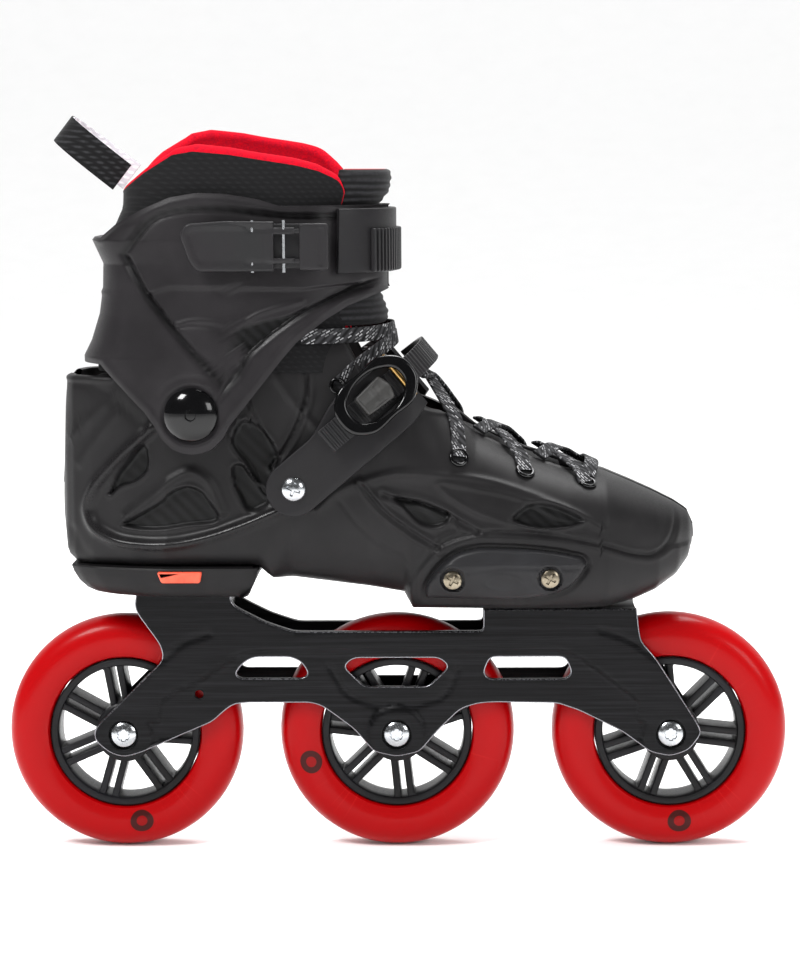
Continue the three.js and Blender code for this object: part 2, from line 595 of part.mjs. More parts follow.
const CUFF_ANCHOR = { front: CUFF_STRAP_ROOT + 9.4, peg: 2, x: CUFF_STRAP_ROOT + 5, z: 285 };

const anchorHole = () => barY(CUFF_ANCHOR.peg + RUNNING, 0, 80, CUFF_ANCHOR.x, CUFF_ANCHOR.z, 10);

// A band round the cuff, as thick as the strap.
const strapBand = () => sleeve(STRAP_STANDOFF + CUFF_STRAP_THICKNESS).subtract(sleeve(STRAP_STANDOFF));

const makeCuffStrap = () => strapBand()
  .intersect(frontOf(CUFF_STRAP_END, CUFF_ANCHOR.front + CLEARANCE, ...CUFF_STRAP_Z));

const makeCuffLadder = () => {
  const inner = STRAP_STANDOFF + CUFF_STRAP_THICKNESS + CLEARANCE;
  return sleeve(inner + CUFF_LADDER.thickness).subtract(sleeve(inner))
    .intersect(frontOf(CUFF_LADDER.end, CUFF_LADDER.end, ...CUFF_LADDER.z));
};

// The strap's anchor: a block like the strap, with a peg through the cuff.
const makeCuffStrapAnchor = () => {
  const { front, peg, x, z } = CUFF_ANCHOR;
  return strapBand().intersect(block(CUFF_STRAP_ROOT, front, 0, 80, ...CUFF_STRAP_Z))
    .add(barY(peg, CUFF_HALF - 12.6, CUFF_HALF - 6.5, x, z, 10));
};

// ---------------------------------------------------------------- strap over the instep
const STRAP_SHAFT = 2.4;
const STRAP_HALF = STRAP_SPAN / 2;
const STRAP_POWER = 3.2; // how square the strap's arch is
const STRAP_FOOT = 12.5; // radius of a strap's round end

// The strap's own frame: X up along it, Y across the boot and Z across its width. This arch is its
// middle line from the lateral screw over the instep to the medial screw.
const strapArch = (s) => {
  const exponent = 2 / STRAP_POWER;
  return new THREE.Vector2(
    STRAP_CREST * power(Math.cos(s), exponent),
    STRAP_HALF * power(Math.sin(s), exponent),
  );
};

// A point of the arch at an angle (degrees from the crest), moved out from it by an offset.
const offsetArch = (angle, offset) => {
  const s = THREE.MathUtils.degToRad(angle);
  const [before, here, after] = [s - 0.01, s, s + 0.01].map(strapArch);
  const along = after.clone().sub(before).normalize();
  return here.addScaledVector(new THREE.Vector2(along.y, -along.x), offset).toArray();
};

// A band along the arch between two angles (degrees from the crest), between two offsets from it.
const archBand = (from, to, inner, outer, z0, z1) => {
  const steps = Math.ceil(Math.abs(to - from) / 7);
  const [a, b] = [[], []];
  for (let i = 0; i <= steps; i++) {
    a.push(offsetArch(from + ((to - from) * i) / steps, inner));
    b.push(offsetArch(from + ((to - from) * i) / steps, outer));
  }
  return planPrism([...a, ...b.reverse()], z0, z1);
};

// The straight foot of a strap, from its round end at the screw to where the arch takes over.
const strapFoot = (side) => {
  const y = side * STRAP_HALF;
  const outer = y + side * STRAP_THICKNESS;
  return block(-STRAP_FOOT, 4, Math.min(y, outer), Math.max(y, outer), -STRAP_FOOT, STRAP_FOOT);
};

const makeStrapPlate = (side) => {
  const end = 38; // where the plate ends, in degrees from the crest
  const band = archBand(side < 0 ? -90 : end, side < 0 ? -end : 90, 0, STRAP_THICKNESS, -STRAP_FOOT, 20);
  const r = STRAP_FOOT;
  const d = r * Math.SQRT1_2;
  const plan = [[-r, 0], [-d, -d], [0, -r], [60, -r], [84, -6], [84, 19], [40, 19], [18, r], [0, r], [-d, d]];
  const cut = new THREE.ExtrudeGeometry(outline(plan), { depth: 160, bevelEnabled: false });
  return band.add(strapFoot(side)).intersect(toSolid(cut.rotateX(Math.PI / 2).translate(0, 80, 0)))
    .subtract(barY(STRAP_SHAFT + RUNNING, -80, 80, 0, 0, 12));
};

const makeStrapScrew = (side) => {
  const seat = STRAP_HALF + STRAP_THICKNESS + CLEARANCE;
  const head = STRAP_SCREW_DIAMETER / 2;
  const screw = turned([[0, -seat - 2.4], [head - 1.4, -seat - 2.2], [head, -seat - 0.8], [head, -seat],
    [STRAP_SHAFT, -seat], [STRAP_SHAFT, 1 - ANKLE], [0, 1 - ANKLE]], 18);
  return side < 0 ? screw : toSolid(toGeometry(screw).rotateZ(Math.PI));
};

const LADDER_AT = 7; // middle of the toothed strap, across the band
const RATCHET_AT = 54; // middle of the ratchet, along the strap
const RATCHET_ACROSS = 8.5; // middle of the ratchet, across the band
const RATCHET_FLOOR = 1.6;

// Where the ratchet stands on the strap: along it and out from the middle plane.
const ratchetPlace = () => {
  const along = RATCHET_AT / STRAP_CREST;
  const out = STRAP_HALF * (1 - along ** STRAP_POWER) ** (1 / STRAP_POWER);
  return [RATCHET_AT, -out - STRAP_THICKNESS - CLEARANCE];
};

// Where a point of the ratchet's own frame lies in the strap's frame.
const fromRatchet = (x, out) => {
  const tilt = THREE.MathUtils.degToRad(RATCHET_TILT);
  const [at, y] = ratchetPlace();
  return [at + x * Math.cos(tilt) + out * Math.sin(tilt), y + x * Math.sin(tilt) - out * Math.cos(tilt)];
};

// The toothed strap: its tail below the ratchet, straight through it, then over the instep to the
// medial plate.
const makeInstepLadder = () => {
  const low = RATCHET_FLOOR + CLEARANCE;
  const high = low + LADDER_THICKNESS;
  const bend = fromRatchet(-17, low);
  const tail = (out) => [bend[0] - 13, bend[1] - out];
  const lower = [tail(0), bend, fromRatchet(17, low)];
  const upper = [tail(LADDER_THICKNESS), fromRatchet(-17.5, high), fromRatchet(18, high)];
  const over = (offset) => Array.from({ length: 9 }, (_, i) => offsetArch(-26 + 8 * i, offset));
  const rise = STRAP_THICKNESS + CLEARANCE;
  const side = [...lower, ...over(rise), ...over(rise + LADDER_THICKNESS).reverse(), ...upper.reverse()];
  return planPrism(side, LADDER_AT - LADDER_WIDTH / 2, LADDER_AT + LADDER_WIDTH / 2);
};

// The ratchet, in its own frame: X up along the strap, -Y outwards, Z across; the origin is on the
// strap under its middle.
const RATCHET = { half: 11, cheek: 1.8, height: 6.8 };
const RING_LEVER = { low: 7.2, high: 10.3, rim: 3.6 }; // its two faces, out from the strap
const PAWL = { low: 4.4, high: 9.6 };

const makeRatchetBase = () => {
  const { half, cheek, height } = RATCHET;
  const wall = (z) => block(-12, 17, -height, 0, z, z + cheek);
  return block(-16, 17, -RATCHET_FLOOR, 0, -half, half).add(wall(-half)).add(wall(half - cheek));
};

const makeRingLever = () => {
  const loop = (grow, squeeze) => [
    [-17 - grow, 5 + grow * 0.4], [-17 - grow, -5 - grow * 0.4], [-12, -9 - grow], [12, -9 - grow],
    [17 + grow, -4], [17 + grow, 4], [12, 9 + grow], [-12, 9 + grow],
  ].map(([x, z]) => [x * squeeze, z]);
  return sidePrism(loop(RING_LEVER.rim, 1), -RING_LEVER.high, -RING_LEVER.low)
    .subtract(sidePrism(loop(0, 0.86), -20, 0));
};

const makePawl = () => sidePrism([[-9, 5], [-9, -5], [6, -6], [8, 0], [6, 6]], -PAWL.high, -PAWL.low);

const makeInstepStrap = () => {
  const strap = new THREE.Group();
  strap.position.set(STRAP_SCREW_X, 0, STRAP_SCREW_Z);
  strap.rotation.y = THREE.MathUtils.degToRad(-STRAP_ANGLE);
  const ratchet = new THREE.Group();
  ratchet.position.set(...ratchetPlace(), RATCHET_ACROSS);
  ratchet.rotation.z = THREE.MathUtils.degToRad(RATCHET_TILT);
  ratchet.add(
    piece('ratchet_base', makeRatchetBase(), satinBlack),
    piece('ratchet_ring_lever', makeRingLever(), glossBlack),
    piece('ratchet_pawl', makePawl(), greyMetal),
  );
  strap.add(
    piece('instep_strap_lateral', makeStrapPlate(-1), satinBlack),
    piece('instep_strap_medial', makeStrapPlate(1), satinBlack),
    piece('instep_screw_lateral', makeStrapScrew(-1), steel),
    piece('instep_screw_medial', makeStrapScrew(1), steel),
    piece('instep_ladder', makeInstepLadder(), satinBlack),
    ratchet,
  );
  return strap;
};

// ---------------------------------------------------------------- liner, footbed, tongue and loop
const LINER_INSET = SHELL_WALL + LINER_GAP;
const COLLAR_INSET = CUFF_WALL + 1.5; // from the cuff's outer face to the liner inside it
const COLLAR_WALL = LINER_WALL + 2;

const makeLinerBoot = () => {
  const rim = [[-175, 220], [-124, 220], [-104, 236], [-60, 238], [-20, 226], [-8, 214], [11, 200],
    [37, 189.5], [60, 180], [78, 173]];
  const above = sidePrism([...rim, [78, 360], [-175, 360]], -80, 80);
  return bootShape(LINER_INSET).subtract(bootShape(LINER_INSET + LINER_WALL)).subtract(above);
};

const makeFootbed = () => {
  const t = FOOTBED_THICKNESS;
  const under = sidePrism([[-175, 100], [175, 100], [175, 137], [110, 130 + t], [95, 126.5 + t],
    [12, 127 + t], [0, 134 + t], [-50, 143 + t], [-62, 148 + t], [-175, 148 + t]], -80, 80);
  return bootShape(LINER_INSET + LINER_WALL + CLEARANCE).intersect(under);
};

// The padding that follows the cuff's inside.
const collar = (wall) => sleeve(-COLLAR_INSET).subtract(sleeve(-COLLAR_INSET - wall));

const makeLinerCuff = () => {
  const side = [[-34, 266], [-34, 318], [-45, 325], [-65, 333], [-92, 331],
    [-100, 327], [-112, 319], [-124, 308], [-160, 306], [-160, 266]];
  return collar(COLLAR_WALL).intersect(sidePrism(side, -80, 80));
};

const makeTongue = () => {
  const side = [[-33, 266], [-24, 266], [-24, 246], [20, 246], [20, 318], [-20, 316], [-33, 313]];
  return collar(LINER_WALL).intersect(sidePrism(side, -80, 80));
};

const makeGusset = () => {
  const crest = [[-8, 222], [11, 207.5], [37, 196.5], [60, 185.5], [76, 180]];
  const lower = crest.map(([x, z]) => [x, z - 2.6]).reverse();
  return sidePrism([...crest, ...lower], -THROAT_WIDTH / 2 + 1.2, THROAT_WIDTH / 2 - 1.2);
};

const LOOP = { length: 37, half: 20, width: 14.5, thickness: 1.6, angle: 38, root: [-123.5, 0, 314] };

const makePullLoop = () => {
  const curve = (half, length) => Array.from({ length: 13 }, (_, i) => {
    const a = -Math.PI / 2 + (Math.PI * i) / 12;
    return [length * power(Math.cos(a), 0.9), half * power(Math.sin(a), 0.9)];
  });
  const outer = curve(LOOP.half, LOOP.length);
  const inner = curve(LOOP.half - LOOP.thickness, LOOP.length - LOOP.thickness).reverse();
  const mesh = piece('pull_loop', planPrism([...outer, ...inner], -LOOP.width / 2, LOOP.width / 2), cloth);
  mesh.position.set(...LOOP.root);
  mesh.rotation.y = Math.PI + THREE.MathUtils.degToRad(LOOP.angle);
  return mesh;
};

// ---------------------------------------------------------------- lace
const makeLace = () => {
  // [x, y, z] at each eyelet pair, lying on the flaps, from the ankle down to the toe and back up.
  const rows = [[29.5, 25, 205.5], [59.5, 25, 193], [84, 22, 185]];
  const route = [[6, 25, 221]];
  rows.forEach(([x, y, z], i) => route.push([x - 12, 0, z + 8], [x, i % 2 ? y : -y, z]));
  route.push([90, 0, 186]);
  rows.reverse().forEach(([x, y, z], i) => {
    route.push([x + 1, i % 2 ? -y : y, z], [x - 12, 0, z + 12]);
  });
  route.push([6, -25, 221]);
  const path = new THREE.CatmullRomCurve3(route.map((p) => new THREE.Vector3(...p)), false, 'centripetal');
  const section = new THREE.Shape().absarc(0, 0, 1.5, 0, 2 * Math.PI);
  const options = { steps: 48, extrudePath: path, curveSegments: 3, bevelEnabled: false };
  return toSolid(new THREE.ExtrudeGeometry(section, options));
};

// ---------------------------------------------------------------- assembly
const skate = new THREE.Group();
skate.add(
  piece('frame', makeFrame(), anodised),
  ...makeMounting('front', FRONT_BOLT_X, FRONT_MOUNT_TOP - MOUNT_WEB, innerFloor(FRONT_SOLE, 184)),
  ...makeMounting('rear', REAR_BOLT_X, REAR_MOUNT_TOP - MOUNT_WEB, innerFloor(SHELL_HEEL, 300)),
  ...Object.entries(AXLES).map(([where, x]) => makeWheel(where, x)),
  piece('shell', makeShell(), black),
  piece('heel_base', makeHeelBase(), black),
  piece('heel_cushion', makeHeelCushion(), cushionRed),
  piece('cuff', makeCuff(), black),
  ...makePivot(-1, 'lateral'),
  ...makePivot(1, 'medial'),
  piece('buckle_base', makeBuckleBase(), satinBlack),
  piece('buckle_lever', makeBuckleLever(), satinBlack),
  piece('buckle_bail', makeBuckleBail(), satinBlack),
  piece('cuff_strap', makeCuffStrap(), satinBlack),
  piece('cuff_ladder', makeCuffLadder(), satinBlack),
  piece('cuff_strap_anchor', makeCuffStrapAnchor(), satinBlack),
  makeInstepStrap(),
  piece('liner_boot', makeLinerBoot(), cloth),
  piece('liner_cuff', makeLinerCuff(), fleece),
  piece('liner_tongue', makeTongue(), cloth),
  piece('footbed', makeFootbed(), cloth),
  piece('throat_gusset', makeGusset(), cloth),
  makePullLoop(),
  piece('lace', makeLace(), cloth),
);
for (const [side, name] of [[-1, 'lateral'], [1, 'medial']]) {
  skate.add(piece(`slider_${name}`, makeSlider(side), satinBlack));
  SLIDER_SCREWS.forEach((place, i) => {
    skate.add(piece(`slider_screw_${name}_${i ? 'front' : 'rear'}`, makeSliderScrew(side, place), greyMetal));
  });
}

export default skate;
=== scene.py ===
"""A right three-wheel inline skate in a studio scene, built round its packed mechanical model.

Sizes are in millimetres until a mesh is made. +X is the toe, +Z up and -Y the outer side.
"""
import json
import math

import bmesh
import bpy
import numpy as np
from mathutils import Matrix, Vector
from mathutils.geometry import delaunay_2d_cdt


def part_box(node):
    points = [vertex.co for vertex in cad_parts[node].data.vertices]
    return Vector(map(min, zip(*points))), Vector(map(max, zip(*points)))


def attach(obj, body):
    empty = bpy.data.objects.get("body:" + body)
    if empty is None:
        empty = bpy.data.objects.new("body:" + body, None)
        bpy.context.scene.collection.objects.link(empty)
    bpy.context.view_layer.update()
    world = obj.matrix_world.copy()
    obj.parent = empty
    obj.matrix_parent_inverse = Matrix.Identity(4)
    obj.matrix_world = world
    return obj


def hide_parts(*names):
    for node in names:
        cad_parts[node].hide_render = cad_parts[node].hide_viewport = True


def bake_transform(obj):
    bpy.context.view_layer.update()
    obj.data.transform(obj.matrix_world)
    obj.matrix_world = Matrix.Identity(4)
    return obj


bl_info = {
    "name": "Inline skate studio model",
    "version": (1, 0, 0),
    "blender": (4, 5, 0),
    "location": "3D View > Sidebar > Inline skate",
    "description": "Builds the visible surfaces of a three-wheel inline skate round its mechanical model",
    "category": "Add Mesh",
}

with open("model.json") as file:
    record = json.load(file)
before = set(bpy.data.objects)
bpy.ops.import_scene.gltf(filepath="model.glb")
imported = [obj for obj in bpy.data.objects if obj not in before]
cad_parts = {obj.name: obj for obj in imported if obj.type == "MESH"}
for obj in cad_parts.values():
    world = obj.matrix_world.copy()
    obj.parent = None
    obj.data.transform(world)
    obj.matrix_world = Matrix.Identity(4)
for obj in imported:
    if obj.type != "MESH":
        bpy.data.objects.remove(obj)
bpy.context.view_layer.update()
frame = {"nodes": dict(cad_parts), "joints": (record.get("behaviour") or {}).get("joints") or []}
MM = 0.001
SIDES = {"lateral": -1, "medial": 1}
WHEELS = ("rear", "middle", "front")
PINS = {j["name"]: np.array(j["pos_m"]) / MM for j in frame["joints"]}
ANKLE_PIVOT = PINS["cuff_flex"]
STRAP_PIVOT = PINS["instep_strap_tilt"]


def room(node):
    """Lowest and highest corner of a CAD node in mm."""
    low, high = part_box(node)
    return np.array(low) / MM, np.array(high) / MM


# ---------------------------------------------------------------- lines in a plane
def spline(points, count, closed=False):
    """Smooth line through points, evenly spaced by chord length t: the cubic on each span whose end
    slopes are the neighbouring chords' slopes, each weighted by the other's length."""
    p = np.asarray(points, float)
    if closed:
        p = np.vstack([p[-3:], p, p[:3]])
    length = np.maximum(np.linalg.norm(np.diff(p, axis=0), axis=1), 1e-6)
    t = np.concatenate([[0], np.cumsum(length)])
    chord = np.diff(p, axis=0) / length[:, None]
    slope = np.vstack([chord[:1], (chord[1:] * length[:-1, None] + chord[:-1] * length[1:, None])
                       / (length[:-1] + length[1:])[:, None], chord[-1:]])
    first, last = (t[3], t[-3]) if closed else (t[0], t[-1])
    s = np.linspace(first, last, count, endpoint=not closed)
    k = np.clip(np.searchsorted(t, s, "right") - 1, 0, len(length) - 1)
    h = length[k][:, None]
    u = ((s - t[k]) / length[k])[:, None]
    return ((2 * u**3 - 3 * u**2 + 1) * p[k] + (u**3 - 2 * u**2 + u) * h * slope[k]
            + (3 * u**2 - 2 * u**3) * p[k + 1] + (u**3 - u**2) * h * slope[k + 1])


def evenly(points, count, closed=False):
    """Points spaced evenly along a line of straight spans."""
    p = np.asarray(points, float)
    if closed:
        p = np.vstack([p, p[:1]])
    t = np.concatenate([[0], np.cumsum(np.linalg.norm(np.diff(p, axis=0), axis=1))])
    s = np.linspace(0, t[-1], count, endpoint=not closed)
    return np.stack([np.interp(s, t, p[:, k]) for k in range(p.shape[1])], -1)


def fillet(points, radius, steps=5):
    """Closed outline whose corner p becomes (1-t)^2 a + 2t(1-t) p + t^2 b, with a and b on its two
    sides, at most a radius away."""
    p = np.asarray(points, float)

    def toward(q):
        d = q - p
        away_by = np.linalg.norm(d, axis=1, keepdims=True)
        return p + d * np.minimum(np.reshape(radius, (-1, 1)) / away_by, 0.45)

    a, b = toward(np.roll(p, 1, 0))[:, None], toward(np.roll(p, -1, 0))[:, None]
    t = np.linspace(0, 1, steps)[None, :, None]
    return ((1 - t) ** 2 * a + 2 * t * (1 - t) * p[:, None] + t**2 * b).reshape(-1, 2)


def circle(radius, count=48, at=(0, 0), start=0.0):
    a = start + np.linspace(0, 2 * np.pi, count, endpoint=False)
    return np.stack([at[0] + radius * np.cos(a), at[1] + radius * np.sin(a)], -1)


def outwards(points):
    """Unit vectors that point out of a closed outline: its direction turned a quarter."""
    d = np.roll(points, -1, 0) - np.roll(points, 1, 0)
    d /= np.maximum(np.linalg.norm(d, axis=1, keepdims=True), 1e-9)
    x, z = points.T
    area = np.sum(x * np.roll(z, -1) - z * np.roll(x, -1))
    return np.stack([d[:, 1], -d[:, 0]], -1) * np.sign(area)


def away(points, x, z):
    """Distance of each (x, z) from a line: the least of its distances from the straight spans."""
    best = np.full(np.shape(x), 1e9)
    for a, b in zip(np.asarray(points, float)[:-1], np.asarray(points, float)[1:]):
        d = b - a
        t = np.clip(((x - a[0]) * d[0] + (z - a[1]) * d[1]) / max(d @ d, 1e-9), 0, 1)
        best = np.minimum(best, np.hypot(x - a[0] - t * d[0], z - a[1] - t * d[1]))
    return best


def signed(points, x, z):
    """Distance of each (x, z) from a closed outline, negative inside it (an odd number of crossings)."""
    p = np.vstack([points, points[:1]])
    odd = np.zeros(np.shape(x), bool)
    for a, b in zip(p[:-1], p[1:]):
        if a[1] != b[1]:
            at = a[0] + (z - a[1]) * (b[0] - a[0]) / (b[1] - a[1])
            odd ^= ((a[1] > z) != (b[1] > z)) & (x < at)
    return np.where(odd, -1.0, 1.0) * away(p, x, z)


def ease(value, low, high):
    """0 below low, 1 above high and 3t^2 - 2t^3 between."""
    t = np.clip((value - low) / (high - low), 0, 1)
    return t * t * (3 - 2 * t)


def hump(distance, width):
    """Bell curve exp(-(d/w)^2) across a ridge or groove."""
    return np.exp(-((distance / width) ** 2))


def power(value, exponent):
    return np.sign(value) * np.abs(value) ** exponent


# ---------------------------------------------------------------- surfaces and meshes
def quads(rows, cols, around=False):
    """Faces of a grid of rows by cols points, numbered along its rows; around joins the last column
    to the first."""
    i, j = np.meshgrid(np.arange(rows - 1), np.arange(cols if around else cols - 1), indexing="ij")
    k = (j + 1) % cols
    return np.stack([i * cols + j, i * cols + k, (i + 1) * cols + k, (i + 1) * cols + j], -1).reshape(-1, 4)


def skin(points, around=False):
    """A grid of points as one part of a mesh."""
    return points.reshape(-1, 3), quads(points.shape[0], points.shape[1], around)


def lid(points):
    """One flat face over a ring of points."""
    return points, [list(range(len(points)))], 0, False


def lathe(profile, count=64, at=(0, 0, 0), start=0.0):
    """A profile of (radius, y) turned about Y: x = r cos a, z = r sin a. The last column repeats the
    first, so a map of angle and radius has no gap."""
    r, y = np.asarray(profile, float).T
    a = start + np.linspace(0, 2 * np.pi, count + 1)
    grid = np.stack([np.outer(r, np.cos(a)), np.outer(y, np.ones(count + 1)), np.outer(r, np.sin(a))], -1)
    return skin(grid + np.asarray(at, float))


def slab(outline, near, far, edge=0.6, holes=(), relief=None, grain=0.0, steps=3):
    """An outline in X and Z with holes, between two depths along Y. Its edges are quarter circles:
    drawn in by e(1 - sin a) at depth e(1 - cos a). Its near face is pushed in by relief(x, z), on
    points grain mm apart."""
    turn = np.sign(far - near)
    a = np.linspace(0, np.pi / 2, steps + 1)
    inset = np.concatenate([edge * (1 - np.sin(a)), edge * (1 - np.sin(a))[::-1]])
    depth = np.concatenate([near + turn * edge * (1 - np.cos(a)), far - turn * edge * (1 - np.cos(a))[::-1]])
    parts, borders = [], []
    for k, line in enumerate([outline, *holes]):
        line = np.asarray(line, float)
        out = outwards(line) * (1 if k == 0 else -1)
        flat = line[None] - inset[:, None, None] * out[None]
        y = np.repeat(depth[:, None], len(line), 1)
        if relief is not None:
            low = relief(flat[0][:, 0], flat[0][:, 1])
            y = y + turn * low[None] * (1 - (y - near) / (far - near))
        parts.append(skin(np.stack([flat[..., 0], y, flat[..., 1]], -1), around=True))
        borders.append(flat[0])
    inner = np.zeros((0, 2))
    if grain:
        low, high = borders[0].min(0), borders[0].max(0)
        x, z = np.meshgrid(np.arange(low[0], high[0], grain), np.arange(low[1], high[1], grain))
        clear = -signed(borders[0], x, z) > grain * 0.6
        for border in borders[1:]:
            clear &= signed(border, x, z) > grain * 0.6
        inner = np.stack([x[clear], z[clear]], -1)
    for y, wanted in ((near, inner), (far, np.zeros((0, 2)))):
        flat, faces = fill(borders, wanted)
        height = np.full(len(flat), y)
        if relief is not None and y == near:
            height = height + turn * relief(flat[:, 0], flat[:, 1])
        parts.append((np.stack([flat[:, 0], height, flat[:, 1]], -1), faces, 0, relief is not None and y == near))
    return parts


def fill(borders, inner):
    """Triangles between an outline, its holes and any points inside, by constrained Delaunay."""
    points, edges, start = [], [], 0
    for border in borders:
        n = len(border)
        points.append(border)
        edges += [(start + i, start + (i + 1) % n) for i in range(n)]
        start += n
    flat = np.vstack([*points, inner])
    made = delaunay_2d_cdt([Vector(p) for p in flat], edges, [], 0, 1e-7)
    flat, faces = np.array([tuple(v) for v in made[0]]), np.array(made[2])
    middle = flat[faces].mean(1)
    keep = signed(borders[0], *middle.T) < 0
    for border in borders[1:]:
        keep &= signed(border, *middle.T) > 0
    return flat, faces[keep]


def placed(parts, matrix):
    """Parts moved by a 4 by 4 matrix in mm."""
    m = np.array(matrix)
    return [(p[0] @ m[:3, :3].T + m[:3, 3], *p[1:]) for p in parts]


def mirrored(parts):
    """Parts with Y turned to -Y."""
    return [(p[0] * [1, -1, 1], *p[1:]) for p in parts]


def axes(at, x, y, z):
    """Matrix that puts the origin at a point and the three axes along x, y and z."""
    m = np.eye(4)
    m[:3, 0], m[:3, 1], m[:3, 2], m[:3, 3] = x, y, z, at
    return m


def facing(at, normal, up=(0, 0, 1)):
    """Matrix whose -Y looks along a normal at a point, with Z as near up as it can be."""
    y = -np.asarray(normal, float) / np.linalg.norm(normal)
    x = np.cross(y, up)
    x /= np.linalg.norm(x)
    return axes(at, x, y, np.cross(x, y))


def make(name, parts, looks, body, stands_for=(), sharp=40, fields=None, chart=None, weld=0.004):
    """One mesh object of parts (points, faces, material number, smooth). Doubles are merged and faces
    turned outwards. fields are named values and chart the UV, one for each point."""
    parts = [(*p, 0, True)[:4] if len(p) == 2 else (*p, True)[:4] for p in parts]
    mesh = bpy.data.meshes.new(name)
    faces, numbers, smooth, start = [], [], [], 0
    for points, part_faces, number, soft in parts:
        faces += [[start + k for k in f] for f in part_faces] if isinstance(part_faces, list) else (
            part_faces + start).tolist()
        numbers += [number] * len(part_faces)
        smooth += [soft] * len(part_faces)
        start += len(points)
    mesh.from_pydata((np.vstack([p[0] for p in parts]) * MM).tolist(), [], faces)
    mesh.polygons.foreach_set("material_index", numbers)
    mesh.polygons.foreach_set("use_smooth", smooth)
    for key, values in (fields or {}).items():
        mesh.attributes.new(key, "FLOAT", "POINT").data.foreach_set("value", np.ravel(values).astype(np.float32))
    if chart is not None:
        corner = np.zeros(len(mesh.loops), np.int32)
        mesh.loops.foreach_get("vertex_index", corner)
        mesh.uv_layers.new(name="chart").data.foreach_set("uv", chart[corner].astype(np.float32).ravel())
    shaped = bmesh.new()
    shaped.from_mesh(mesh)
    bmesh.ops.remove_doubles(shaped, verts=shaped.verts, dist=weld * MM)
    bmesh.ops.dissolve_degenerate(shaped, edges=shaped.edges, dist=1e-7)
    bmesh.ops.recalc_face_normals(shaped, faces=shaped.faces)
    shaped.to_mesh(mesh)
    shaped.free()
    mesh.set_sharp_from_angle(angle=math.radians(sharp))
    for look in looks if isinstance(looks, (list, tuple)) else [looks]:
        mesh.materials.append(look)
    made = bpy.data.objects.new(name, mesh)
    bpy.context.scene.collection.objects.link(made)
    if body:
        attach(made, body)
    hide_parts(*stands_for)
    return made


def normals(grid):
    """Unit vector square to a grid of points: the cross product of its two directions."""
    n = np.cross(np.gradient(grid, axis=0), np.gradient(grid, axis=1))
    return n / np.maximum(np.linalg.norm(n, axis=-1, keepdims=True), 1e-9)


# ---------------------------------------------------------------- materials
def linear(code):
    """sRGB hex to linear: c / 12.92 up to 0.04045, then ((c + 0.055) / 1.055)^2.4."""
    c = np.array([int(code[k:k + 2], 16) for k in (1, 3, 5)]) / 255
    return (*np.where(c <= 0.04045, c / 12.92, ((c + 0.055) / 1.055) ** 2.4), 1.0)


def add(tree, kind, inputs=(), **settings):
    """Adds a shader node; inputs maps a socket's name or number to a value or to a node (its first
    output) or an output, and settings are the node's own properties."""
    made = tree.nodes.new("ShaderNode" + kind)
    for key, value in settings.items():
        setattr(made, key, value)
    for key, value in dict(inputs).items():
        socket = made.inputs[key]
        if isinstance(value, bpy.types.Node):
            value = value.outputs[0]
        if isinstance(value, bpy.types.NodeSocket):
            tree.links.new(value, socket)
        else:
            socket.default_value = value
    return made


def material(name, colour, roughness, **shader):
    """A new material: its node tree, its shader and the object's own coordinates."""
    made = bpy.data.materials.new(name)
    made.use_nodes = True
    tree = made.node_tree
    tree.nodes.clear()
    bsdf = add(tree, "BsdfPrincipled", {"Base Color": linear(colour), "Roughness": roughness,
                                         **{k.replace("_", " "): v for k, v in shader.items()}})
    add(tree, "OutputMaterial", {"Surface": bsdf})
    made.diffuse_color = linear(colour)
    return made, tree, bsdf, add(tree, "TexCoord").outputs["Object"]


def speckle(tree, where, size, detail=2.0, stretch=None):
    """Noise whose grains are about size mm, drawn out along the axes by stretch."""
    if stretch:
        where = add(tree, "Mapping", {"Vector": where, "Scale": stretch})
    return add(tree, "TexNoise", {"Vector": where, "Scale": 1 / (size * MM), "Detail": detail})


def between(tree, value, low, high, a, b):
    """value carried from low..high to a..b."""
    return add(tree, "MapRange", {"Value": value, "From Min": low, "From Max": high, "To Min": a, "To Max": b})


def tint(tree, factor, a, b):
    """Mix of two colours, each a hex code or an output."""
    ends = [linear(c) if isinstance(c, str) else c for c in (a, b)]
    return add(tree, "Mix", {0: factor, 6: ends[0], 7: ends[1]}, data_type="RGBA").outputs[2]


def rough(tree, bsdf, height, depth, strength=0.5):
    """Bump of a height times depth mm."""
    made = add(tree, "Bump", {"Height": height, "Distance": depth * MM, "Strength": strength})
    tree.links.new(made.outputs[0], bsdf.inputs["Normal"])
    return made


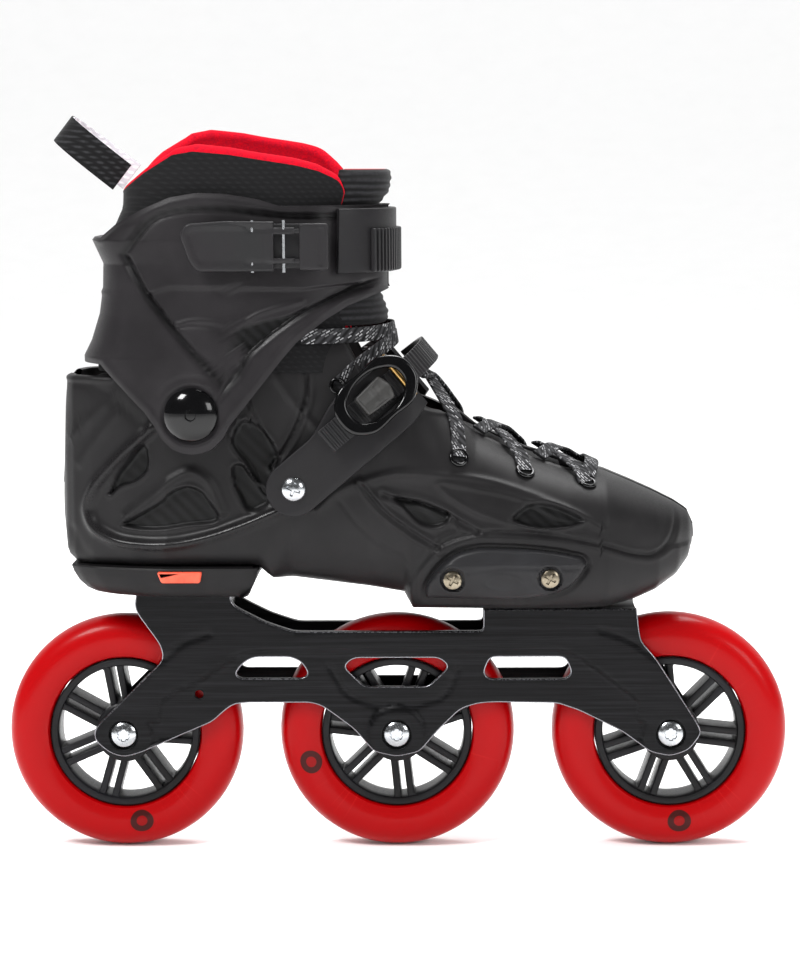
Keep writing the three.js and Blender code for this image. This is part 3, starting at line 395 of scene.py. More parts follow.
def moulded(name, colour, worn, roughness, grain=0.6, depth=0.05, vents_and_shade=False):
    """Moulded polyurethane or nylon: a spark-eroded mould leaves an even matt grain, and handling a
    slightly lighter, smoother cloudiness 25 mm across. The grain is drawn at 0.6 mm to show at all."""
    made, tree, bsdf, where = material(name, colour, roughness, Specular_IOR_Level=0.2)
    cloud = speckle(tree, where, 25, 3)
    fine = speckle(tree, where, grain, 1)
    base = tint(tree, between(tree, cloud, 0.35, 0.7, 0, 1).outputs[0], colour, worn)
    tree.links.new(between(tree, fine, 0.3, 0.7, roughness - 0.05, roughness + 0.07).outputs[0],
                   bsdf.inputs["Roughness"])
    # Where the vent attribute is 1, the colour is the dark mesh lining behind the windows. On the cuff the same
    # attribute also holds the grooves, so there this dark lining colour is painted shade in the grooves.
    if vents_and_shade:
        vent_and_shade_mask = add(tree, "Attribute", attribute_name="vent").outputs["Fac"]
        mesh = add(tree, "TexWave", {"Vector": where, "Scale": 1 / (1.6 * MM) / 6.28, "Distortion": 0.0},
                   bands_direction="DIAGONAL")
        lining = tint(tree, mesh, "#040404", "#111112")
        base = tint(tree, vent_and_shade_mask, base, lining)
        polish = add(tree, "Attribute", attribute_name="polish").outputs["Fac"]
        matt = between(tree, fine, 0.3, 0.7, roughness - 0.05, roughness + 0.07)
        shine = add(tree, "Math", {0: polish, 1: 0.3}, operation="MULTIPLY")
        less = add(tree, "Math", {0: matt, 1: shine}, operation="SUBTRACT")
        tree.links.new(less.outputs[0], bsdf.inputs["Roughness"])
    tree.links.new(base, bsdf.inputs["Base Color"])
    rough(tree, bsdf, fine, depth)
    return made


def looks():
    """Every finish, once: a dictionary by name."""
    made = {}
    colours = bpy.context.scene.skate_colours
    code = {key: getattr(colours, key) for key in colours.bl_rna.properties.keys() if key not in ("rna_type", "name")}
    tone = {key: "#%02x%02x%02x" % tuple(round(255 * min(1, max(0, c))) for c in value[:3])
            for key, value in code.items()}

    # Moulded parts of the boot: satin polyurethane, a near-black grey that reads lighter at grazing light.
    made["shell"] = moulded("moulded_shell_polyurethane", tone["shell"], tone["shell_worn"], 0.46, vents_and_shade=True)
    made["cuff"] = moulded("moulded_cuff_polyurethane", tone["cuff"], tone["cuff_worn"], 0.44, vents_and_shade=True)
    made["heel"] = moulded("moulded_heel_nylon", tone["shell"], tone["shell_worn"], 0.5)
    made["slider"] = moulded("hard_moulded_nylon", tone["slider"], tone["shell_worn"], 0.42, 0.5, 0.08)
    made["strap"] = moulded("moulded_strap_polyurethane", tone["strap"], tone["shell_worn"], 0.45)
    made["buckle"] = moulded("moulded_buckle_nylon", tone["buckle"], tone["cuff_worn"], 0.38, 0.5, 0.03)
    made["hub"] = moulded("glass_filled_nylon", tone["hub"], "#17171a", 0.36, 0.8, 0.04)

    # Gloss lacquer on the pivot caps and the ratchet's lever: a clear mirror-like coat over black.
    gloss, tree, bsdf, where = material("gloss_black_lacquer", "#050506", 0.12, Coat_Weight=0.4, Coat_Roughness=0.04,
                                         Specular_IOR_Level=0.2)
    tree.links.new(between(tree, speckle(tree, where, 9, 2), 0.3, 0.7, 0.1, 0.2).outputs[0], bsdf.inputs["Roughness"])
    made["gloss"] = gloss

    # Black anodised 7000 aluminium, brushed along the frame: fine horizontal streaks 0.25 mm high, drawn
    # at 0.5 mm. The streaks change both the grey and the gloss.
    anodised, tree, bsdf, where = material("black_anodised_aluminium", tone["anodised"], 0.4, Metallic=0.4,
                                            Anisotropic=0.4, Specular_IOR_Level=0.2)
    streak = speckle(tree, where, 0.6, 3, (0.03, 1, 1.4))
    long_streak = speckle(tree, where, 1.6, 2, (0.015, 1, 1))
    both = add(tree, "Math", {0: streak, 1: long_streak}, operation="MULTIPLY")
    tree.links.new(tint(tree, between(tree, both, 0.14, 0.4, 0, 1).outputs[0], tone["anodised"], "#1b1b1d"),
                   bsdf.inputs["Base Color"])
    tree.links.new(between(tree, streak, 0.3, 0.7, 0.3, 0.5).outputs[0], bsdf.inputs["Roughness"])
    rough(tree, bsdf, streak, 0.03, 0.35)
    made["anodised"] = anodised

    # Rolled edges of the frame: bright aluminium that draws the light lines along its edges as a painted highlight,
    # with a fine turned sheen.
    bare, tree, bsdf, where = material("bare_machined_aluminium", "#8f8f94", 0.3, Metallic=1.0)
    tree.links.new(between(tree, speckle(tree, where, 1.2, 2), 0.3, 0.7, 0.18, 0.36).outputs[0],
                   bsdf.inputs["Roughness"])
    made["bare"] = bare

    # Bright zinc plate on the bolts and screws.
    zinc, tree, bsdf, where = material("bright_zinc_plated_steel", "#b9bcc0", 0.2, Metallic=1.0)
    tree.links.new(tint(tree, speckle(tree, where, 2.5, 3), "#9fa3a8", "#d6d8da"), bsdf.inputs["Base Color"])
    tree.links.new(between(tree, speckle(tree, where, 0.8, 2), 0.3, 0.7, 0.12, 0.3).outputs[0],
                   bsdf.inputs["Roughness"])
    made["zinc"] = zinc

    # Browned plating on the slider screws: a warm grey metal, duller than zinc.
    bronze, tree, bsdf, where = material("browned_steel", "#8d8474", 0.32, Metallic=1.0)
    tree.links.new(tint(tree, speckle(tree, where, 1.5, 3), "#7b7262", "#a59b88"), bsdf.inputs["Base Color"])
    made["bronze"] = bronze

    # Brass pins of the ratchet.
    brass, tree, bsdf, where = material("drawn_brass", "#b8935a", 0.28, Metallic=1.0)
    tree.links.new(tint(tree, speckle(tree, where, 1.0, 2), "#9c7a48", "#cfa968"), bsdf.inputs["Base Color"])
    made["brass"] = brass

    # Grey painted zinc casting of the pawl: eggshell paint over a slightly pitted casting.
    cast, tree, bsdf, where = material("painted_zinc_casting", tone["pawl"], 0.45, Metallic=0.2)
    pits = speckle(tree, where, 1.0, 3)
    tree.links.new(tint(tree, pits, tone["pawl"], "#3c3b3a"), bsdf.inputs["Base Color"])
    rough(tree, bsdf, pits, 0.05)
    made["pawl"] = cast

    # Cast urethane tyre: light enters it, so it glows a little under its gloss, and flow lines left by
    # casting run out from the hub. A plain printed disc marks one side. The chart is (turn, radius in m).
    tyre, tree, bsdf, where = material("cast_red_urethane", tone["tyre"], 0.3, Subsurface_Weight=0.05,
                                        Subsurface_Scale=0.006, Specular_IOR_Level=0.1, Coat_Weight=0.07,
                                        Coat_Roughness=0.12)
    bsdf.inputs["Subsurface Radius"].default_value = (1.0, 0.08, 0.05)
    chart = add(tree, "UVMap", uv_map="chart")
    turn, radius = (add(tree, "SeparateXYZ", {0: chart}).outputs[k] for k in (0, 1))
    lines = add(tree, "TexNoise", {"Vector": add(tree, "CombineXYZ", {0: turn, 1: 0.0}), "Scale": 170.0, "Detail": 1.0})
    sparse = between(tree, add(tree, "TexNoise", {"Vector": chart, "Scale": 9.0, "Detail": 1.0}), 0.48, 0.62, 0, 1)
    near = between(tree, radius, 0.036, 0.05, 1.0, 0.0)
    flow = add(tree, "Math", {0: between(tree, lines, 0.6, 0.72, 0, 1), 1: near}, operation="MULTIPLY")
    flow = add(tree, "Math", {0: flow, 1: sparse}, operation="MULTIPLY")
    flow = add(tree, "Math", {0: flow, 1: 0.3}, operation="MULTIPLY")
    red = tint(tree, between(tree, radius, 0.036, 0.055, 0, 1).outputs[0], tone["tyre"], tone["tyre_rim"])
    red = tint(tree, flow, red, "#e03a34")
    across = add(tree, "Math", {0: add(tree, "Math", {0: turn, 1: 0.5}, operation="SUBTRACT"), 1: 0.25},
                 operation="MULTIPLY")
    out = add(tree, "Math", {0: radius, 1: 0.0425}, operation="SUBTRACT")
    spot = add(tree, "VectorMath", {0: add(tree, "CombineXYZ", {0: across, 1: out})}, operation="LENGTH")
    spot = spot.outputs["Value"]
    face = between(tree, add(tree, "SeparateXYZ", {0: where}).outputs[1], -0.0005, 0.0005, 1, 0)
    disc = add(tree, "Math", {0: between(tree, spot, 0.0050, 0.0053, 1, 0), 1: face}, operation="MULTIPLY")
    ring = add(tree, "Math", {0: disc, 1: between(tree, spot, 0.0022, 0.0025, 0.35, 1)}, operation="MULTIPLY")
    tree.links.new(tint(tree, ring, red, "#3a1412"), bsdf.inputs["Base Color"])
    made["tyre"] = tyre

    # Red elastomer shock pad: soft moulded rubber, slightly chalky.
    pad, tree, bsdf, where = material("moulded_red_elastomer", tone["cushion"], 0.5)
    tree.links.new(tint(tree, speckle(tree, where, 3, 3), tone["cushion"], "#f0694a"), bsdf.inputs["Base Color"])
    rough(tree, bsdf, speckle(tree, where, 0.7, 1), 0.06)
    made["pad"] = pad
    made.update(cloths(tone))
    return made


def knitted(name, dark, light, pitch, depth, sheen=0.3, ribs=False):
    """Knitted or woven textile: two crossed waves a thread apart give the loops, with fuzz between.
    Real threads of 0.4 mm are drawn at pitch mm so that they show."""
    made, tree, bsdf, where = material(name, dark, 0.85, Sheen_Weight=sheen * 0.3, Sheen_Roughness=0.4,
                                       Specular_IOR_Level=0.15)
    scale = 1 / (pitch * MM) / 6.28
    up = add(tree, "TexWave", {"Vector": where, "Scale": scale, "Distortion": 0.6, "Detail": 1.0}, bands_direction="Z")
    across = add(tree, "TexWave", {"Vector": where, "Scale": scale, "Distortion": 0.6, "Detail": 1.0},
                 bands_direction="DIAGONAL")
    loops = add(tree, "Math", {0: up, 1: across}, operation="MULTIPLY") if not ribs else up
    fuzz = speckle(tree, where, pitch * 1.4, 3)
    thread = add(tree, "Math", {0: loops, 1: fuzz}, operation="MULTIPLY")
    tree.links.new(tint(tree, between(tree, thread, 0.05, 0.5, 0, 1).outputs[0], dark, light),
                   bsdf.inputs["Base Color"])
    rough(tree, bsdf, loops, depth, 0.6)
    return made


def cloths(tone):
    """The textiles: liner, fleece, footbed, webbing and lace."""
    made = {
        "liner": knitted("knitted_liner_textile", tone["liner"], "#1c1c1d", 1.1, 0.15),
        "tongue": knitted("ribbed_tongue_textile", tone["liner"], "#2a2a2c", 1.5, 0.25, ribs=True),
        "footbed": knitted("brushed_footbed_cloth", "#18181a", "#333336", 1.5, 0.1),
        "webbing": knitted("woven_nylon_webbing", "#101011", "#2c2c2e", 1.2, 0.2),
        "webbing_lining": knitted("woven_white_webbing", "#c8c9cf", "#f2f3f6", 1.2, 0.2),
        "gusset": knitted("stretch_throat_mesh", "#0b0b0c", "#232325", 1.2, 0.2),
    }
    # Short-pile fleece: bright red fibres, with a soft sheen and clumps 2 mm across.
    fleece, tree, bsdf, where = material("short_pile_red_fleece", tone["fleece"], 0.95, Sheen_Weight=0.25,
                                          Sheen_Roughness=0.5, Sheen_Tint=linear(tone["fleece"]),
                                          Specular_IOR_Level=0.1)
    clump = speckle(tree, where, 2.0, 4)
    fibre = speckle(tree, where, 0.7, 2)
    pile = add(tree, "Math", {0: clump, 1: fibre}, operation="MULTIPLY")
    tree.links.new(tint(tree, between(tree, pile, 0.12, 0.38, 0, 1).outputs[0], "#9c0a20", tone["fleece"]),
                   bsdf.inputs["Base Color"])
    rough(tree, bsdf, pile, 0.6, 0.8)
    made["fleece"] = fleece

    # Flat braided lace: black, with light flecks 1.9 mm long in slanting rows. The chart is in metres
    # along and across the lace.
    lace, tree, bsdf, where = material("braided_lace", tone["lace"], 0.8, Specular_IOR_Level=0.15)
    chart = add(tree, "UVMap", uv_map="chart")
    flecks = add(tree, "TexBrick", {"Vector": add(tree, "Mapping", {"Vector": chart, "Rotation": (0, 0, 0.5)}),
                                    "Color1": (1, 1, 1, 1), "Color2": (0, 0, 0, 1), "Mortar": (0, 0, 0, 1),
                                    "Scale": 1.0, "Mortar Size": 0.00036, "Mortar Smooth": 0.2, "Bias": 0.5,
                                    "Brick Width": 0.0026, "Row Height": 0.0012}, offset=0.5, squash=1.0)
    braid = add(tree, "TexWave", {"Vector": chart, "Scale": 1 / (1.0 * MM) / 6.28, "Distortion": 0.0},
                bands_direction="DIAGONAL")
    weave = tint(tree, braid, tone["lace"], "#323234")
    tree.links.new(tint(tree, flecks.outputs["Color"], weave, "#dddde0"), bsdf.inputs["Base Color"])
    rough(tree, bsdf, braid, 0.2, 0.6)
    made["lace"] = lace
    return made


# ---------------------------------------------------------------- settings
def size(name, description, default):
    return bpy.props.FloatProperty(name=name, description=description, default=default, subtype="DISTANCE",
                                   unit="LENGTH")


def hue(name, description, default):
    return bpy.props.FloatVectorProperty(name=name, description=description, default=default, size=3, min=0.0,
                                         max=1.0, subtype="COLOR_GAMMA")


class SkateSizes(bpy.types.PropertyGroup):
    wheel_radius: size("Wheel radius", "Outer radius of each urethane tyre", 0.055)
    wheel_width: size("Wheel width", "Width of each tyre along its axle", 0.024)
    hub_radius: size("Hub radius", "Outer radius of each nylon hub", 0.035)
    shell_wall: size("Shell wall", "Thickness of the moulded shell", 0.0034)
    cuff_wall: size("Cuff wall", "Thickness of the moulded cuff", 0.0035)
    lace_width: size("Lace width", "Width of the flat lace", 0.0068)
    loop_wall: size("Pull loop thickness", "Thickness of the webbing loop", 0.0016)


class SkateColours(bpy.types.PropertyGroup):
    shell: hue("Shell", "Moulded boot shell", (0.08, 0.076, 0.08))
    shell_worn: hue("Shell, handled", "Shell where hands have smoothed it", (0.11, 0.106, 0.11))
    cuff: hue("Cuff", "Moulded ankle cuff", (0.1, 0.096, 0.102))
    cuff_worn: hue("Cuff, handled", "Cuff where hands have smoothed it", (0.14, 0.135, 0.142))
    slider: hue("Slider", "Slider blocks on the boot's sides", (0.14, 0.14, 0.15))
    strap: hue("Straps", "Moulded straps", (0.11, 0.107, 0.113))
    buckle: hue("Buckle", "Buckle of the cuff strap", (0.14, 0.14, 0.146))
    hub: hue("Hub", "Nylon hub", (0.06, 0.056, 0.058))
    anodised: hue("Frame", "Anodised wheel frame", (0.028, 0.028, 0.03))
    tyre: hue("Tyre", "Urethane tyre near its hub", (0.58, 0.0, 0.01))
    tyre_rim: hue("Tyre rim", "Urethane tyre at its rim", (0.61, 0.0, 0.016))
    cushion: hue("Heel pad", "Elastomer pad under the heel", (0.85, 0.2, 0.1))
    fleece: hue("Fleece", "Lining of the collar", (0.76, 0.02, 0.11))
    liner: hue("Liner", "Knitted outside of the liner", (0.08, 0.08, 0.083))
    lace: hue("Lace", "Body of the lace", (0.07, 0.07, 0.075))
    pawl: hue("Pawl", "Pawl of the instep ratchet", (0.15, 0.148, 0.145))


# ---------------------------------------------------------------- small hardware
def head(radius, crown, recess, depth=1.0, rings=14, count=48):
    """A domed screw head facing -Y on a polar grid: y = -crown sqrt(1 - (0.92 r/R)^2), sunk where the
    recess function of (x, z) is 1, with a cylinder behind it."""
    r = radius * np.linspace(0, 1, rings + 1)[1:]
    a = np.linspace(0, 2 * np.pi, count, endpoint=False)
    x, z = np.outer(r, np.cos(a)), np.outer(r, np.sin(a))
    y = -crown * (np.sqrt(1 - (0.92 * r / radius) ** 2)[:, None] - 0.39) / 0.61 + depth * recess(x, z)
    grid = np.stack([x, y, z], -1)
    centre = np.full((1, count, 3), 0.0)
    centre[..., 1] = -crown + depth * recess(np.zeros(1), np.zeros(1))[0]
    back = grid[-1:].repeat(2, 0)
    back[0, :, 1] = crown * 0.4
    back[1] = [0, crown * 0.4, 0]
    return [skin(np.concatenate([centre, grid, back]), around=True)]


def phillips(width, wide=0.9):
    """1 inside a cross of a width across, tapering outwards."""
    def sink(x, z):
        return np.maximum((np.abs(x) < wide * (1 - 0.25 * np.abs(z) / width)) & (np.abs(z) < width),
                          (np.abs(z) < wide * (1 - 0.25 * np.abs(x) / width)) & (np.abs(x) < width)).astype(float)
    return sink


def hexagon(flat):
    """1 inside a hexagon a distance across its flats."""
    def sink(x, z):
        across = np.maximum(np.abs(x), np.maximum(np.abs(0.5 * x + 0.866 * z), np.abs(0.5 * x - 0.866 * z)))
        return (across < flat / 2).astype(float)
    return sink


def pin(start, end, radius, count=20):
    """A straight round pin with flat ends."""
    start, end = np.asarray(start, float), np.asarray(end, float)
    along = (end - start) / np.linalg.norm(end - start)
    side = np.cross(along, [0.3, 0.9, 0.2])
    side /= np.linalg.norm(side)
    other = np.cross(along, side)
    a = np.linspace(0, 2 * np.pi, count, endpoint=False)
    ring = np.outer(np.cos(a), side) + np.outer(np.sin(a), other)
    rows = [start + 0 * ring, start + radius * ring, end + radius * ring, end + 0 * ring]
    return [skin(np.stack(rows), around=True)]


class SKATE_OT_wheels(bpy.types.Operator):
    """Builds three wheels: lathed urethane tyre and bearings, and a nylon hub whose seven double spokes
    are pairs of ribs leaning out from a ray, open between them"""
    bl_idname = "skate.wheels"
    bl_label = "Build wheels"

    def execute(self, context):
        sizes, look = context.scene.skate_sizes, LOOKS
        radius, width, hub = sizes.wheel_radius / MM, sizes.wheel_width / MM, sizes.hub_radius / MM
        phases = {"rear": 100.0, "middle": 19.0, "front": 96.0}
        for name in WHEELS:
            axle = PINS[f"{name}_wheel_spin"]
            body = f"{name}_wheel"
            spin = Matrix.Rotation(-math.radians(phases[name]), 4, "Y")
            seat = Matrix.Translation(axle * 1.0) @ spin
            a = np.linspace(-math.pi / 2, math.pi / 2, 33)
            # Tread: a squashed half circle, r = R - w + w cos(a)^0.75; then flat sides down to the hub.
            tread = np.stack([radius - 11.5 + 11.5 * np.cos(a) ** 0.8, width / 2 * power(np.sin(a), 0.9)], -1)
            side = [(hub + 0.35, -width / 2 + 3.2), (hub + 1.2, -width / 2 + 1.3), (hub + 3.6, -width / 2 + 0.25)]
            other = [(r, -y) for r, y in side[::-1]]
            profile = np.vstack([[(hub + 0.35, 0)], side, tread, other, [(hub + 0.35, 0)]])
            part = lathe(profile, 160)
            chart = np.stack([np.tile(np.linspace(0, 1, 161), len(profile)), np.repeat(profile[:, 0], 161) * MM], -1)
            make(f"{name}_tyre_urethane", placed([part], seat), look["tyre"], body,
                 [f"{name}_tyre"], chart=chart)
            make(f"{name}_hub_nylon", placed(self.hub(hub), seat), look["hub"], body,
                 [f"{name}_hub"], sharp=32)
            for side_name in SIDES:
                low, high = room(f"{name}_bearing_{side_name}")
                outer = (high[0] - low[0]) / 2 - 0.05
                y0, y1 = sorted((low[1] - axle[1], high[1] - axle[1]), key=abs)
                d = np.sign(y1)
                race = [(4.2, y0), (4.2, y1), (6.0, y1), (6.0, y1 - d * 0.5), (9.4, y1 - d * 0.7), (9.4, y1),
                        (outer, y1), (outer, y0), (4.2, y0)]
                make(f"{name}_bearing_{side_name}_steel", placed([lathe(race, 64)], seat), look["zinc"], body,
                     [f"{name}_bearing_{side_name}"], sharp=25)
        return {"FINISHED"}

    def hub(self, hub):
        """Rim ring, boss and seven pairs of ribs, all lathed or extruded at the origin."""
        rim = [(hub, -9.5), (hub - 0.6, -10.0), (hub - 1.4, -10.1), (hub - 3.1, -9.8), (hub - 3.6, -9.0),
               (hub - 3.9, -5.0)]
        rim = rim + [(r, -y) for r, y in rim[::-1]] + [rim[0]]
        boss = [(14.2, -6.5), (13.9, -9.6), (13.1, -10.1), (11.4, -10.1), (11.1, -9.8)]
        boss = boss + [(r, -y) for r, y in boss[::-1]] + [boss[0]]
        parts = [lathe(rim, 112), lathe(boss, 96)]
        inner, outer = 13.0, hub - 3.2
        for k in range(7):
            for offset in (-1, 1):
                # Each rib leans out from the pair's middle line: 1.3 mm off it at the boss, 1.6 at the rim.
                line = np.array([(inner, offset * 1.3), (inner, offset * 4.6), (outer - 1.5, offset * 4.7),
                                 (outer + 0.6, offset * 6.3), (outer + 0.6, offset * 1.6), (outer - 2, offset * 1.45)])
                rib = slab(fillet(line, 0.8, 4), -8.6, 8.6, 0.7)
                parts += placed(rib, Matrix.Rotation(-k * 2 * math.pi / 7, 4, "Y"))
        return parts


class SKATE_OT_frame(bpy.types.Operator):
    """Builds the aluminium frame: two plates cut to one outline, milled by distance to their relief
    lines, their webs, and the zinc-plated axles and mounting bolts"""
    bl_idname = "skate.frame"
    bl_label = "Build frame"

    OUTLINE = [(-76.5, 122), (-120.5, 122), (-121.5, 116), (-120, 112), (-110, 98), (-108.6, 93), (-109.5, 89.5),
               (-140.5, 58.8), (-141.5, 55), (-140, 51.5), (-134, 46.5), (-127.5, 44.5), (-120, 46.5), (-96.5, 56.5),
               (-86, 61), (-80, 66.5), (-76, 69.3), (-70, 70), (-40, 70), (-35, 68.5), (-30, 65), (-20, 57.5),
               (-11, 47), (0, 44.5), (11, 47), (20, 57.5), (30, 67), (38, 69.5), (45, 70), (75, 69.5), (85, 66),
               (95, 61), (105, 56), (118, 46.5), (127.5, 44.5), (136, 47.5), (142, 55.5), (140, 60), (121, 90),
               (113.5, 99), (112.5, 105), (112, 110), (111.5, 114), (40.5, 114), (40.5, 104.5), (39, 103.7),
               (-45, 103.7), (-48, 104), (-60, 108), (-72, 114), (-75, 116), (-76.5, 118.5)]
    SQUARE = [(-76.5, 122), (-120.5, 122), (111.5, 114), (40.5, 114)]
    WINDOWS = [[(-75, 84), (-73, 81.5), (-43, 81.5), (-41, 84), (-44, 89), (-49, 91.5), (-66, 91.5), (-71, 89)],
               [(-15, 77.5), (15, 77.5), (24.5, 87), (20, 91), (-20, 91), (-24.5, 87)],
               [(40.5, 84), (43, 81), (79, 81), (81.5, 84), (78.5, 91.3), (43.5, 91.3)]]
    STEP = [(-110, 69), (-104, 73.5), (-90, 80), (-80, 87), (-72, 92), (-60, 93.5), (75, 93.5), (85, 90), (95, 83),
            (104, 76), (112, 70)]
    CUTS = [[(-87, 103), (-100, 98), (-109, 90)], [(95, 104), (105, 101), (115, 95), (120, 91)],
            [(-31, 87), (-21, 73), (-15, 70.5), (15, 70.5), (21, 73), (29, 86)]]

    def relief(self, x, z):
        """Depth milled away below the step line: 1.6 mm, easing over 3 mm above it, with 0.7 mm cuts."""
        line = np.array(self.STEP, float)
        at = np.interp(x, line[:, 0], line[:, 1], left=60, right=60)
        depth = 1.6 * (1 - ease(z - at, -0.3, 2.6))
        for axle in (-127.5, 0, 127.5):
            depth = depth * ease(np.hypot(x - axle, z - 55), 12.5, 14)
        for cut in self.CUTS:
            depth = depth + 0.7 * hump(away(spline(cut, 24), x, z), 1.2)
        return depth

    def execute(self, context):
        look = LOOKS
        low, high = room("frame")
        half = high[1]
        radii = [0.3 if tuple(p) in self.SQUARE else 3.0 for p in self.OUTLINE]
        outline = fillet(self.OUTLINE, radii, 4)
        windows = [fillet(w, 3.0, 5) for w in self.WINDOWS] + [circle(2.0, 20, (-92, 74))]
        windows += [circle(6.8, 40, (axle, 55)) for axle in (-127.5, 0, 127.5)]
        plate = slab(outline, -half, -half + 4.5, 0.5, windows, self.relief, grain=1.4, steps=3)
        # The rolled edges of the near face take the bright edge metal: a painted highlight along the edges.
        shown = [(p[0], p[1], 0, True) if k >= len(plate) - 2 else (p[0], p[1], 1 if k < 4 else 0, True)
                 for k, p in enumerate(plate)]
        parts = []
        for points, faces, number, soft in shown:
            if number == 1:
                cols = len(faces) // 7
                rim = np.asarray(faces)
                parts += [(points, rim[:cols * 3], 1, True), (points, rim[cols * 3:], 0, True)]
            else:
                parts.append((points, faces, 0, True))
        seat = [(6.8, -half + 0.6), (6.6, -half + 0.4), (6.6, -half + 2.0), (4.1, -half + 2.0), (4.1, -half + 4.4)]
        for axle in (-127.5, 0, 127.5):
            parts.append((*lathe(seat, 40, (axle, 0, 55)), 0, True))
        parts += mirrored(parts)
        # The webs that join the plates: under the two mounts and between the wheels.
        for x0, x1, z0, z1 in ((-120.3, -76.7, 113.2, 121.9), (40.7, 111.3, 105.2, 113.9), (-74, -41, 92.5, 100),
                               (41, 79, 92.5, 100)):
            web = fillet([(x0, z0), (x1, z0), (x1, z1), (x0, z1)], 0.6, 3)
            parts += slab(web, -13.2, 13.2, 0.3)
        make("frame_anodised", parts, [look["anodised"], look["bare"]], "boot", ["frame"],
             sharp=50)
        for name in WHEELS:
            axle = PINS[f"{name}_wheel_spin"]
            low, high = room(f"{name}_axle")
            parts = placed(head(5.9, 1.6, hexagon(5.0), 1.4), Matrix.Translation((axle[0], low[1] + 2.4, axle[2])))
            parts += placed(head(5.6, 1.2, hexagon(5.0), 1.4), Matrix.Translation((axle[0], high[1] - 2.2, axle[2]))
                            @ Matrix.Rotation(math.pi, 4, "Z"))
            parts += pin((axle[0], low[1] + 2, axle[2]), (axle[0], high[1] - 2, axle[2]), 3.95, 32)
            make(f"{name}_axle_steel", parts, look["zinc"], "boot", [f"{name}_axle"], sharp=30)
        for name in ("front_mount_bolt", "rear_mount_bolt"):
            low, high = room(name)
            mid = (low + high) / 2
            bolt = head(high[0] - mid[0] - 0.05, 1.4, hexagon(5), 1.2)
            turn = Matrix.Rotation(-math.pi / 2, 4, "X")
            parts = placed(bolt, Matrix.Translation((mid[0], mid[1], high[2] - 2.2)) @ turn)
            parts += pin((mid[0], mid[1], low[2] + 0.1), (mid[0], mid[1], high[2] - 2), 3.0)
            make(f"{name}_steel", parts, look["zinc"], "boot", [name], sharp=30)
        return {"FINISHED"}


# ---------------------------------------------------------------- boot
STATIONS = np.array([
    [-155, 3, 158, 172, 0], [-151.5, 21, 141, 225, 0], [-147, 27, 137.3, 270, 0], [-138, 33, 135.8, 300, 0],
    [-120, 39, 135.8, 300, 0], [-104, 42.5, 135.8, 300, 0], [-62, 42.5, 135.8, 300, 0], [-56, 42.5, 130, 300, 0],
    [-12, 42, 124.5, 262, 0], [4, 44, 122, 233, 0.5], [8, 44.5, 114.4, 228, 0.5], [20, 46, 114.4, 213, 1],
    [37, 48, 114.4, 198.5, 1.5], [60, 50, 114.4, 187.5, 2], [80, 50, 114.4, 181, 3], [97, 47, 114.9, 177, 4],
    [110, 41, 118, 171.5, 5], [120, 35, 122, 167, 5.5], [130, 25.5, 128.5, 162, 6], [136, 15.5, 136, 158, 6],
    [139, 4, 145, 151, 6]])
RIM = np.array([[-175, 224], [-128, 224], [-108, 243], [-60, 250], [-28, 253], [-14, 226], [11, 210], [40, 201],
                [80, 190], [140, 175]], float)
THROAT = 17.0
THROAT_END = 94.0


def shrink(half, inset):
    return np.maximum(0.8, half - inset * half / (half + 8))


def section(x, inset=0.0):
    """Half width, low, high and shift of the boot at x, drawn in by an inset."""
    wide, low, high, shift = (np.interp(x, STATIONS[:, 0], STATIONS[:, k]) for k in range(1, 5))
    middle, half = (low + high) / 2, shrink((high - low) / 2, inset)
    return shrink(wide, inset), middle, half, shift


def sole_power(x):
    """Exponent of the section's lower half: 3.6, and 9 at the heel, where the sides run down square."""
    return 3.6 + 5.4 * ease(-x, 46, 64)


def on_boot(x, a, inset=0.0):
    """Point of the boot at x and angle a round its section: y = s + w cos(a)^(2/n) and
    z = m + h sin(a)^(2/n), with n 3.6 to 9 below the middle and 2.5 above. x is drawn in about the middle."""
    wide, middle, half, shift = section(x, inset)
    n = np.where(np.sin(a) < 0, sole_power(x), 2.5)
    y = shift + wide * power(np.cos(a), 2 / n)
    z = middle + half * power(np.sin(a), 2 / n)
    return np.stack(np.broadcast_arrays(-8 + (x + 8) * (147 - inset) / 147, y, z), -1)


def boot_face(x, z, side, inset=0.0):
    """y of the boot's side (side -1 outer, 1 inner) at x and z."""
    wide, middle, half, shift = section(x, inset)
    rise = np.clip((z - middle) / half, -1, 1)
    n = np.where(rise < 0, sole_power(x), 2.5)
    return shift + side * wide * (1 - np.abs(rise) ** n) ** (1 / n)


def opening(x):
    """Height of the rim and half width of the throat at x; the throat ends in half an ellipse 17 long."""
    rim = np.interp(x, RIM[:, 0], RIM[:, 1])
    half = THROAT * np.sqrt(np.clip(1 - (np.clip(x - (THROAT_END - 17), 0, 17) / 17) ** 2, 0, 1))
    return rim, np.where(x < -60, 0.0, half)


